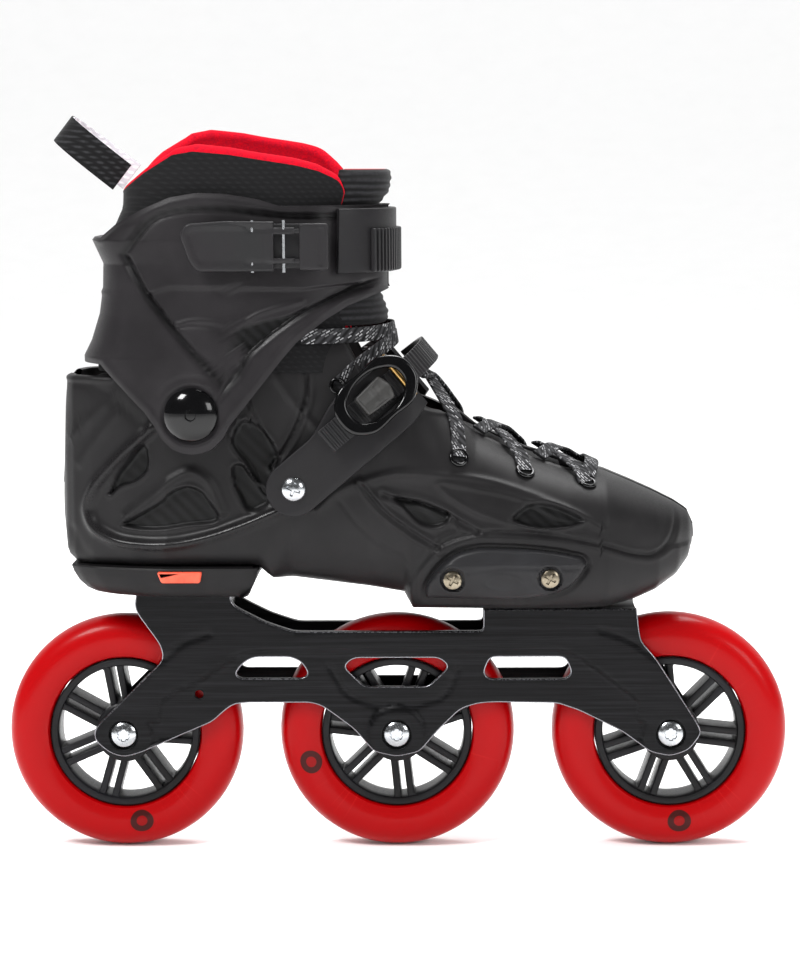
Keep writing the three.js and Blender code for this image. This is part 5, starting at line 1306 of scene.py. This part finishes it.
class SKATE_OT_instep(bpy.types.Operator):
    """Builds the strap over the instep: two plates and a toothed band along a superellipse arch, their
    screws, and the ratchet with its ring lever and pawl"""
    bl_idname = "skate.instep"
    bl_label = "Build instep strap"

    def plate(self, side):
        foot = np.linspace(-12.45, -0.6, 16)
        s = np.radians(np.concatenate([np.linspace(89.4, 70, 34), np.linspace(69, 39, 34)])) * side
        line, out = arch(s)
        line = np.vstack([np.stack([foot, 0 * foot + side * 47.5, 0 * foot], -1), line])
        out = np.vstack([np.tile([0, side, 0], (len(foot), 1)), out])
        x = line[:, 0]
        round_end = np.sqrt(np.clip(12.5**2 - np.minimum(x, 0) ** 2, 0.3, None))
        low = -round_end + 6.5 * ease(x, 58, 84)
        high = round_end + 6.5 * ease(x, 18, 42)
        return ribbon(line, out, [0, 0, 1], low, high, 2.5, 0.8)

    def execute(self, context):
        look = LOOKS
        seat = instep_frame()
        for side_name, side in SIDES.items():
            make(f"instep_strap_{side_name}_moulded", placed(self.plate(side), seat), look["strap"], "instep_strap",
                 [f"instep_strap_{side_name}"])
            low, high = room(f"instep_screw_{side_name}")
            out = -low[1] if side < 0 else high[1]
            turn = Matrix.Rotation(0 if side < 0 else math.pi, 4, "Z") @ Matrix.Rotation(0.35, 4, "Y")
            screw = placed(head(5.4, 2.2, phillips(3.2, 0.7), 1.2, rings=26, count=84),
                           Matrix.Translation((STRAP_PIVOT[0], side * (out - 2.4), STRAP_PIVOT[2])) @ turn)
            screw += pin((STRAP_PIVOT[0], side * (out - 2), STRAP_PIVOT[2]),
                         (STRAP_PIVOT[0], side * 41.8, STRAP_PIVOT[2]),
                         2.3)
            make(f"instep_screw_{side_name}_steel", screw, look["zinc"], "boot",
                 [f"instep_screw_{side_name}"], sharp=25)
        at = 54.0
        y = -47.5 * (1 - (at / 81) ** 3.2) ** (1 / 3.2) - 3.0
        ratchet = seat @ Matrix.Translation((at, y, 8.5)) @ Matrix.Rotation(math.radians(18), 4, "Z")
        inner = seat.inverted() @ ratchet
        # Toothed band: tail, straight through the ratchet, then over the arch.
        run = np.array([tuple(inner @ Vector((x, -2.0, -1.5))) for x in (-17, 17)])
        tail = run[:1] - [13, 0, 0]
        over, _ = arch(np.radians(np.linspace(-24, 38, 30)), 3.1)
        over[:, 2] = 7.0
        run[:, 2], tail[:, 2] = 7.0, 7.0
        line = evenly(np.vstack([tail, run, over]), 220)
        along = np.gradient(line, axis=0)
        along /= np.linalg.norm(along, axis=1, keepdims=True)
        out = np.stack([along[:, 1], -along[:, 0], 0 * along[:, 0]], -1)
        t = np.linspace(0, 1, 220) * np.sum(np.linalg.norm(np.diff(line, axis=0), axis=1))
        teeth = 1.2 + 0.7 * (np.sin(2 * np.pi * t / 2.6) > 0)
        make("instep_ladder_moulded", placed(ribbon(line, out, [0, 0, 1], -5.9, 5.9, teeth, 0.4), seat),
             look["buckle"], "instep_strap", ["instep_ladder"], sharp=30)
        floor = fillet([(-15.8, -10.8), (16.8, -10.8), (16.8, 10.8), (-15.8, 10.8)], 2.5, 5)
        parts = slab(floor, -1.5, -0.05, 0.4)
        for z in (-11, 9.2):
            cheek = placed(slab(fillet([(-11.8, 0), (16.8, 0), (16.8, 4.5), (13.5, 6.7), (-6, 6.7), (-11.8, 3)], 1.6, 5),
                                0, 1.8, 0.4), axes((0, 0, z), (1, 0, 0), (0, 0, 1), (0, -1, 0)))
            parts += cheek
        pins = pin((14.2, -5.4, -11.6), (14.2, -5.4, 11.6), 1.3)
        parts += [(p[0], p[1], 1, True) for p in pins]
        make("ratchet_base_moulded", placed(parts, ratchet), [look["buckle"], look["brass"]], "instep_strap",
             ["ratchet_base"])
        ring = spline([(-20.4, 6), (-20.4, -6), (-13, -12.2), (0, -12.6), (12, -12.4), (20.2, -4.5), (20.2, 4.5), (12, 12.4),
                       (0, 12.6), (-13, 12.2)], 96, closed=True)
        hole = spline([(-14, 5), (-14, -5), (-9, -8.4), (8, -8.4), (14, -3.5), (14, 3.5), (8, 8.4), (-9, 8.4)], 72,
                      closed=True)
        make("ratchet_ring_lacquered", placed(slab(ring, -10.25, -7.25, 1.35, [hole], steps=6), ratchet), look["gloss"],
             "ratchet_lever", ["ratchet_ring_lever"], sharp=50)
        pawl = fillet([(-9, 5), (-9, -5), (6, -6), (8, 0), (6, 6)], 1.2, 5)
        make("ratchet_pawl_cast", placed(slab(pawl, -9.5, -4.5, 0.9,
                                               relief=lambda x, z: 0.8 * hump(x - 0.5, 1.6) + 0.5 * hump(z, 1.4),
                                               grain=0.8), ratchet), look["pawl"], "ratchet_pawl",
             ["ratchet_pawl"])
        return {"FINISHED"}


# ---------------------------------------------------------------- soft goods
def instep_top(x, y, lift=0.0):
    """Height of the shell over (x, y): z = m + h (1 - |y/w|^n)^(1/n), n = 2.5."""
    wide, middle, half, shift = section(x)
    across = np.clip(np.abs((y - shift) / wide), 0, 1)
    return middle + half * (1 - across**2.5) ** (1 / 2.5) + lift


COLLAR_TOP = np.array([(-125, 308), (-124, 309), (-112, 319), (-100, 327), (-91, 328.5), (-75, 327), (-60, 324.5),
                       (-45, 322), (-35, 319.5), (-27, 316), (5, 313)], float)


class SKATE_OT_liner(bpy.types.Operator):
    """Builds the padded liner: its foot follows the boot's sections and its collar the leg's, drawn in by
    their gaps; the collar's top is a half-round roll puffed between seams"""
    bl_idname = "skate.liner"
    bl_label = "Build liner"

    def execute(self, context):
        look = LOOKS
        foot = self.foot()
        collar = self.collar()
        liner = make("liner_padded", foot + collar, [look["liner"], look["fleece"]], None,
                     ["liner_boot", "liner_cuff"], sharp=70, weld=0.01)
        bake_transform(liner)
        self.tongue(look)
        self.footbed(look)
        self.gusset(look)
        return {"FINISHED"}

    def foot(self):
        """The part inside the shell: an outer and an inner grid under a sloping top line, and its edge."""
        x = np.linspace(-154, 138, 110)
        top = np.array([(-175, 220), (-124, 220), (-104, 236), (-60, 238), (-20, 226), (-8, 214), (11, 200), (37, 189.5),
                        (60, 180), (78, 173), (139, 140)], float)
        grids = []
        for inset in (7.6, 12.9):
            rows = []
            for at in x:
                _, middle, half, _ = section(at, inset)
                high = np.interp(-8 + (at + 8) * (147 - inset) / 147, *top.T)
                rise = np.clip((high - middle) / half, -1, 0.97)
                end = np.arcsin(rise**1.25) if rise > 0 else -np.arcsin((-rise) ** (sole_power(at) / 2))
                rows.append(on_boot(at, np.linspace(-np.pi - end, end, 70), inset))
            grids.append(np.array(rows))
        mid = [(grids[0][:, k] + grids[1][:, k]) / 2 + [0, 0, 2.0] for k in (0, -1)]
        edges = [np.stack([grids[0][:, k], m, grids[1][:, k]]) for k, m in zip((0, -1), mid)]
        return [(*skin(g), 0, True) for g in grids + edges]

    def collar(self):
        """The part above: from the outer front edge round the back to the inner one, its section going up
        outside, over a roll and down inside."""
        a = np.linspace(*leg_angle(np.array([-20.5, -20.5]), 300.0, np.array([-1, 1])), 2)
        a = np.linspace(a[0], a[1] - 2 * np.pi, 240)
        x = on_leg(a, 310.0, -6)[:, 0]
        top = np.interp(x, *COLLAR_TOP.T)
        # The front edges slope down towards the tongue.
        top = top - 16 * ease(x, -30, -16) ** 2
        # The inner side stands 7 mm higher.
        top = top + 7 * ease(np.sin(a), 0.1, 0.7) * ease(-x, 16, 40)
        puff = 0.8 * np.abs(np.sin(a * 6.0)) ** 0.7
        rows = []
        low = 226.0
        up = np.linspace(0, 1, 34)
        turn = np.linspace(0, np.pi, 15)
        inset = 5.4
        for u in up:
            z = low + (top - 4 - low) * u
            rows.append(on_leg(a, z, -inset - 0.6 * (1 - ease(z, 285, 305)) + 0.9 * ease(z, 300, 312)))
        for b in turn[1:-1]:
            z = top - 4 + (4 + 0.4 * puff) * np.sin(b)
            rows.append(on_leg(a, z, -inset + 0.9 - 3.6 * (1 - np.cos(b))))
        for u in up[::-1]:
            z = low + (top - 4 - low) * u
            rows.append(on_leg(a, z, -12.2 + 0.9 - puff * np.sin(np.pi * u) ** 2))
        grid = np.array(rows)
        material = np.zeros(len(grid) - 1, int)
        # The knit ends in a seam at the foot of the roll; fleece from there on.
        material[34:] = 1
        points, faces = skin(grid)
        parts = []
        per_row = grid.shape[1] - 1
        for number in (0, 1):
            chosen = faces[np.repeat(material == number, per_row)]
            parts.append((points, chosen, number, True))
        for k in (0, -1):
            parts.append((grid[:, k], [list(range(len(grid)))], 1, False))
        under = np.stack([grid[0], grid[-1]])
        parts.append((*skin(under), 0, True))
        return parts

    def tongue(self, look):
        """Padded front: a rounded slab on the leg's sleeve whose ribs are waves 3.4 mm apart."""
        spread = leg_angle(np.array(-30.0), 290.0, 1, -6)
        a = np.linspace(-spread, spread, 90)
        z = np.linspace(246.5, 317.0, 150)
        edge = np.minimum(1, np.minimum(np.abs(a + spread), np.abs(a - spread)) / 0.16)
        ends = np.minimum(1, np.minimum(z - 246.5, 317.0 - z) / 4.0)
        full = np.sqrt(1 - (1 - edge[None]) ** 2) * np.sqrt(1 - (1 - ends[:, None]) ** 2)
        ribs = 0.28 * np.cos(2 * np.pi * z / 3.4)[:, None]
        high = z[:, None] + 0.0 * a[None]
        outer = on_leg(a[None], high, -8.0 + (2.7 + ribs) * full)
        inner = on_leg(a[None], high, -8.0 - 2.4 * full)
        parts = [(*skin(outer), 0, True), (*skin(inner), 1, True)]
        tongue = make("tongue_padded", parts, [look["tongue"], look["fleece"]], "cuff",
                      ["liner_tongue"], sharp=80, weld=0.02)

    def footbed(self, look):
        low, high = room("footbed")
        x = np.linspace(low[0] + 3, high[0] - 3, 90)
        across = np.linspace(-1, 1, 40)
        wide, _, _, shift = section(x, 13.4)
        line = np.array([(-175, 148), (-62, 148), (-50, 143), (0, 134), (12, 127), (95, 126.5), (110, 130),
                         (175, 137)], float)
        top = np.interp(x, *line.T) + 3.7
        rows = []
        for lift in (0.0, -3.2):
            y = shift[:, None] + np.minimum(wide * 0.93, wide - 0.2)[:, None] * across
            z = (top + lift)[:, None] + 2.0 * np.abs(across) ** 4 * (lift == 0)
            rows.append(np.stack([np.repeat(x[:, None], 40, 1), y, z], -1))
        rim = ([np.stack([rows[0][:, k], rows[1][:, k]]) for k in (0, -1)]
               + [np.stack([rows[0][k], rows[1][k]]) for k in (0, -1)])
        bed = make("footbed_cloth", [(*skin(g), 0, True) for g in rows + rim], look["footbed"], "boot",
                   ["footbed"], sharp=50)

    def gusset(self, look):
        crest = spline([(-8, 222), (11, 207.5), (37, 196.5), (60, 185.5), (76, 180)], 70)
        y = np.linspace(-15.6, 15.6, 36)
        sag = 2.2 * (1 - (y / 15.6) ** 2) * 0.3
        top = np.stack([np.repeat(crest[:, :1], 36, 1), np.repeat(y[None], 70, 0), crest[:, 1:] + sag], -1)
        under = top - [0, 0, 2.4]
        rim = [np.stack([top[:, k], under[:, k]]) for k in (0, -1)] + [np.stack([top[k], under[k]]) for k in (0, -1)]
        gusset = make("throat_gusset_cloth", [(*skin(g), 0, True) for g in [top, under] + rim], look["gusset"], "boot",
                      ["throat_gusset"], sharp=50)


class SKATE_OT_trimmings(bpy.types.Operator):
    """Builds the webbing pull loop, the flat lace over the throat and the eyelets it passes"""
    bl_idname = "skate.trimmings"
    bl_label = "Build lace and loop"

    def execute(self, context):
        look, sizes = LOOKS, context.scene.skate_sizes
        tilt = math.pi + math.radians(38)
        seat = Matrix.Translation((-123.5, 0, 314)) @ Matrix.Rotation(tilt, 4, "Y")
        a = np.linspace(-np.pi / 2, np.pi / 2, 120)
        wall = sizes.loop_wall / MM
        path = np.stack([(37 - wall / 2) * power(np.cos(a), 0.9), (20 - wall / 2) * power(np.sin(a), 0.9), 0 * a], -1)
        path = evenly(path, 140)
        along = np.gradient(path, axis=0)
        along /= np.linalg.norm(along, axis=1, keepdims=True)
        out = np.stack([along[:, 1], -along[:, 0], 0 * along[:, 0]], -1)
        band = ribbon(path, out, [0, 0, 1], -7.1, 7.1, wall * 0.5, 0.3, 0.0)
        lining = ribbon(path, out, [0, 0, 1], -7.1, 7.1, wall * 0.5, 0.3, -wall * 0.5)
        parts = placed(band, seat) + [(p[0], p[1], 1, True) for p in placed(lining, seat)]
        make("pull_loop_webbing", parts, [look["webbing"], look["webbing_lining"]], "cuff", ["pull_loop"],
             sharp=50)
        self.lace(look, sizes.lace_width / MM)
        self.eyelets(look)
        return {"FINISHED"}

    def lace(self, look, width):
        """Flat lengths of lace along routes over the boot; each point of a route is (x, y, z) in mm."""
        def over(x, y, lift):
            return (x, y, float(instep_top(np.array(x), np.array(y))) + lift)

        routes = []
        eyes = [(29.5, 24.5, 187), (59.5, 25.5, 180), (87, 22.5, 174)]
        for k, (x, y, z) in enumerate(eyes):
            for side in (-1, 1):
                back = x - 15 if k else x - 13
                # From this eyelet up and across the throat to the flap on the other side.
                eye = (x, float(boot_face(np.array(x), np.array(z), side)), z)
                mid = over(x - 1, side * (y + 5), 1.0)
                routes.append([eye, mid, over(x - 2, side * y, 1.4), over(x - 5, side * (y - 4), 2.4),
                               over(x - 9, side * 13, 3.4 + side * 0.5), over(x - 14, 0, 3.2 + side * 0.9),
                               over(back - 3, -side * 13, 2.6), over(back - 6, -side * 19, 1.4)])
        routes.append([over(88, 24, 0.8), over(90, 14, 2.4), over(91, 0, 2.8), over(90, -14, 2.4), over(88, -24, 0.8)])
        top = [on_leg(np.array(b), 243.0 + 0.6 * np.cos(b * 3), 1.2 - 5.0) for b in np.linspace(-1.25, 1.25, 14)]
        routes.append([tuple(p) for p in top])
        routes.append([(-24, -40.8, 221.5), (-17, -38, 228), (-9, -32, 234), (-3, -20, 238), (0, 0, 240), (-3, 20, 238),
                       (-9, 32, 234), (-17, 38, 228), (-24, 40.8, 221.5)])
        parts, chart = [], []
        for route in routes:
            line = spline(route, max(24, int(len(route) * 9)))
            along = np.gradient(line, axis=0)
            along /= np.linalg.norm(along, axis=1, keepdims=True)
            rough_up = np.stack([0.35 + 0 * line[:, 0], line[:, 1] / 40, 0.8 + 0 * line[:, 0]], -1)
            if route[0][2] > 215 and route is not routes[0]:
                rough_up = np.stack([np.full(len(line), 0.9), line[:, 1] / 28, 0.15 + 0 * line[:, 0]], -1)
            across = np.cross(along, rough_up)
            across /= np.linalg.norm(across, axis=1, keepdims=True)
            out = np.cross(across, along)
            t = np.linspace(0, 1, len(line)) * np.sum(np.linalg.norm(np.diff(line, axis=0), axis=1))
            piece = ribbon(line, out, across, -width / 2, width / 2, 1.3, 0.5)
            around = piece[0][0].reshape(len(line), -1, 3).shape[1]
            rel = piece[0][0].reshape(len(line), around, 3) - line[:, None]
            v = np.sum(rel * across[:, None], -1)
            parts += piece
            chart += [np.stack([np.repeat(t, around), v.ravel()], -1) * MM]
            chart += [np.zeros((around, 2)), np.zeros((around, 2))]
        lace = make("lace_braided", parts, look["lace"], None, ["lace"], sharp=60, chart=np.vstack(chart))
        # The lace's top crossings lie on the tongue and follow the cuff.
        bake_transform(lace)

    def eyelets(self, look):
        """Rolled rings 9 mm across on the flaps, each a torus of radius 3.7 and 0.9."""
        parts = []
        a = np.linspace(0, 2 * np.pi, 13)[:-1]
        ring = [(3.7 + 0.95 * np.cos(b), 0.95 * np.sin(b)) for b in np.append(a, 0)]
        for x, z, r in ((-25, 220, 0.85), (29.5, 187, 1.0), (59.5, 180, 1.0), (88, 174, 0.95)):
            for side in (-1, 1):
                y = float(boot_face(np.array(x), np.array(z), side))
                dx, dz = ((boot_face(np.array(x + i), np.array(z + j), side)
                           - boot_face(np.array(x - i), np.array(z - j), side)) / 2 for i, j in ((1.0, 0), (0, 1.0)))
                normal = np.array([-float(dx), 1.0, -float(dz)]) * side
                normal /= np.linalg.norm(normal)
                seat = facing(np.array([x, y, z]) + normal * 0.5, normal)
                one = [(p * [r, 1, r], f) for p, f in [lathe(ring, 40)]]
                # A flat disc of the dark throat mesh stands for each hole: it is the dark cloth behind the hole with
                # painted shade over it.
                disc = [(np.stack([3.2 * r * np.cos(a2), 0 * a2 + 0.2, 3.2 * r * np.sin(a2)], -1), [list(range(32))])
                        for a2 in [np.linspace(0, 2 * np.pi, 33)[:-1]]]
                parts += [(p[0], p[1], 0, True) for p in placed(one, seat)]
                parts += [(p[0], p[1], 1, False) for p in placed(disc, seat)]
        make("eyelets_lacquered", parts, [look["gloss"], look["gusset"]], "boot", [], sharp=60)


class SKATE_OT_carried(bpy.types.Operator):
    """Gives the pieces kept from the mechanical model their finishes: washers, inserts, spacers and nuts"""
    bl_idname = "skate.carried"
    bl_label = "Finish kept parts"

    def execute(self, context):
        by_slot = {"zinc_steel": "zinc", "bearing_steel": "zinc", "anodised_aluminium": "anodised"}
        for name in frame["nodes"]:
            kept = bpy.data.objects.get(name)
            if kept is None or kept.type != "MESH":
                continue
            for place in kept.material_slots:
                wanted = next((v for k, v in by_slot.items() if place.material and k in place.material.name), "zinc")
                place.material = LOOKS[wanted]
        return {"FINISHED"}


# ---------------------------------------------------------------- stage, panel and run
class SKATE_OT_stage(bpy.types.Operator):
    """Builds the pale floor, the sky light, three soft lamps and the camera at the viewing angle"""
    bl_idname = "skate.stage"
    bl_label = "Build stage"

    def execute(self, context):
        scene = context.scene
        floor_look, tree, bsdf, where = material("pale_studio_paper", "#fafafa", 0.95, Specular_IOR_Level=0.0)
        tree.links.new(tint(tree, speckle(tree, where, 40, 2), "#f8f8f8", "#fcfcfc"), bsdf.inputs["Base Color"])
        mesh = bpy.data.meshes.new("floor")
        # Side view of the sweep: flat, then a quarter circle of 3 m, then a wall.
        bend = np.linspace(0, np.pi / 2, 40)
        line = np.vstack([[(-12, 0)], np.stack([2.5 + 3 * np.sin(bend), 3 - 3 * np.cos(bend)], -1), [(5.5, 12)]])
        rows = [np.stack([np.full(len(line), x), line[:, 0], line[:, 1]], -1) for x in (-14.0, 14.0)]
        mesh.from_pydata(np.concatenate(rows).tolist(), [], quads(2, len(line)).tolist())
        mesh.polygons.foreach_set("use_smooth", [True] * len(mesh.polygons))
        mesh.materials.append(floor_look)
        floor = bpy.data.objects.new("floor", mesh)
        scene.collection.objects.link(floor)
        world = bpy.data.worlds.new("pale_sky")
        world.use_nodes = True
        tree = world.node_tree
        background = next(n for n in tree.nodes if n.type == "BACKGROUND")
        background.inputs["Color"].default_value = (1, 1, 1, 1)
        # White to the eye and as light on the floor, dim in reflections, as a room behind soft lamps is.
        path = add(tree, "LightPath")
        seen = add(tree, "Math", {0: path.outputs["Is Camera Ray"], 1: path.outputs["Is Diffuse Ray"]},
                   operation="MAXIMUM")
        tree.links.new(between(tree, seen, 0, 1, 0.12, 0.95).outputs[0], background.inputs["Strength"])
        scene.world = world
        for name, at, size_m, power_w in (("key", (-0.85, -0.85, 1.45), 0.5, 24), ("fill", (1.5, -1.2, 0.9), 0.7, 11),
                                          ("top", (0.2, 0.5, 1.6), 0.9, 30)):
            lamp = bpy.data.lights.new(name, "AREA")
            lamp.energy, lamp.size = power_w, size_m
            made = bpy.data.objects.new(name, lamp)
            made.location = at
            made.rotation_euler = (Vector((0, 0, 0.17)) - Vector(at)).to_track_quat("-Z", "Y").to_euler()
            scene.collection.objects.link(made)
        camera = bpy.data.cameras.new("view")
        camera.lens, camera.sensor_width, camera.sensor_fit = 108.53, 36.0, "VERTICAL"
        camera.sensor_height = 36.0
        made = bpy.data.objects.new("view", camera)
        yaw, pitch, roll = (math.radians(v) for v in (-1.2344, 6.3762, -0.3578))
        ahead = Vector((math.sin(yaw) * math.cos(pitch), math.cos(yaw) * math.cos(pitch), -math.sin(pitch)))
        right = Vector((math.cos(yaw), -math.sin(yaw), 0))
        up = right.cross(ahead)
        across = math.cos(roll) * right + math.sin(roll) * up
        above = -math.sin(roll) * right + math.cos(roll) * up
        turn = Matrix((across, above, -ahead)).transposed().to_4x4()
        made.matrix_world = Matrix.Translation((0.03087, -1.34319, 0.32260)) @ turn
        scene.collection.objects.link(made)
        scene.camera = made
        scene.view_settings.view_transform = "Standard"
        return {"FINISHED"}


class SKATE_PT_panel(bpy.types.Panel):
    """Lists the sizes, the colours and one button for each group of pieces"""
    bl_label = "Inline skate"
    bl_idname = "SKATE_PT_panel"
    bl_space_type = "VIEW_3D"
    bl_region_type = "UI"
    bl_category = "Inline skate"

    def draw(self, context):
        for group in (context.scene.skate_sizes, context.scene.skate_colours):
            for key in group.__annotations__:
                self.layout.prop(group, key)
        for operator in OPERATORS:
            self.layout.operator(operator.bl_idname)


OPERATORS = (SKATE_OT_wheels, SKATE_OT_frame, SKATE_OT_boot, SKATE_OT_cuff, SKATE_OT_buckles, SKATE_OT_instep,
             SKATE_OT_liner, SKATE_OT_trimmings, SKATE_OT_carried, SKATE_OT_stage)
CLASSES = (SkateSizes, SkateColours, *OPERATORS, SKATE_PT_panel)
LOOKS = {}


def register():
    for kind in CLASSES:
        bpy.utils.register_class(kind)
    bpy.types.Scene.skate_sizes = bpy.props.PointerProperty(type=SkateSizes)
    bpy.types.Scene.skate_colours = bpy.props.PointerProperty(type=SkateColours)


def unregister():
    del bpy.types.Scene.skate_sizes
    del bpy.types.Scene.skate_colours
    for kind in reversed(CLASSES):
        bpy.utils.unregister_class(kind)


def main():
    register()
    LOOKS.update(looks())
    for operator in OPERATORS:
        call = getattr(bpy.ops.skate, operator.bl_idname.split(".")[1])
        if call() != {"FINISHED"}:
            raise RuntimeError(f"{operator.bl_idname} did not finish")


if __name__ == "__main__":
    main()
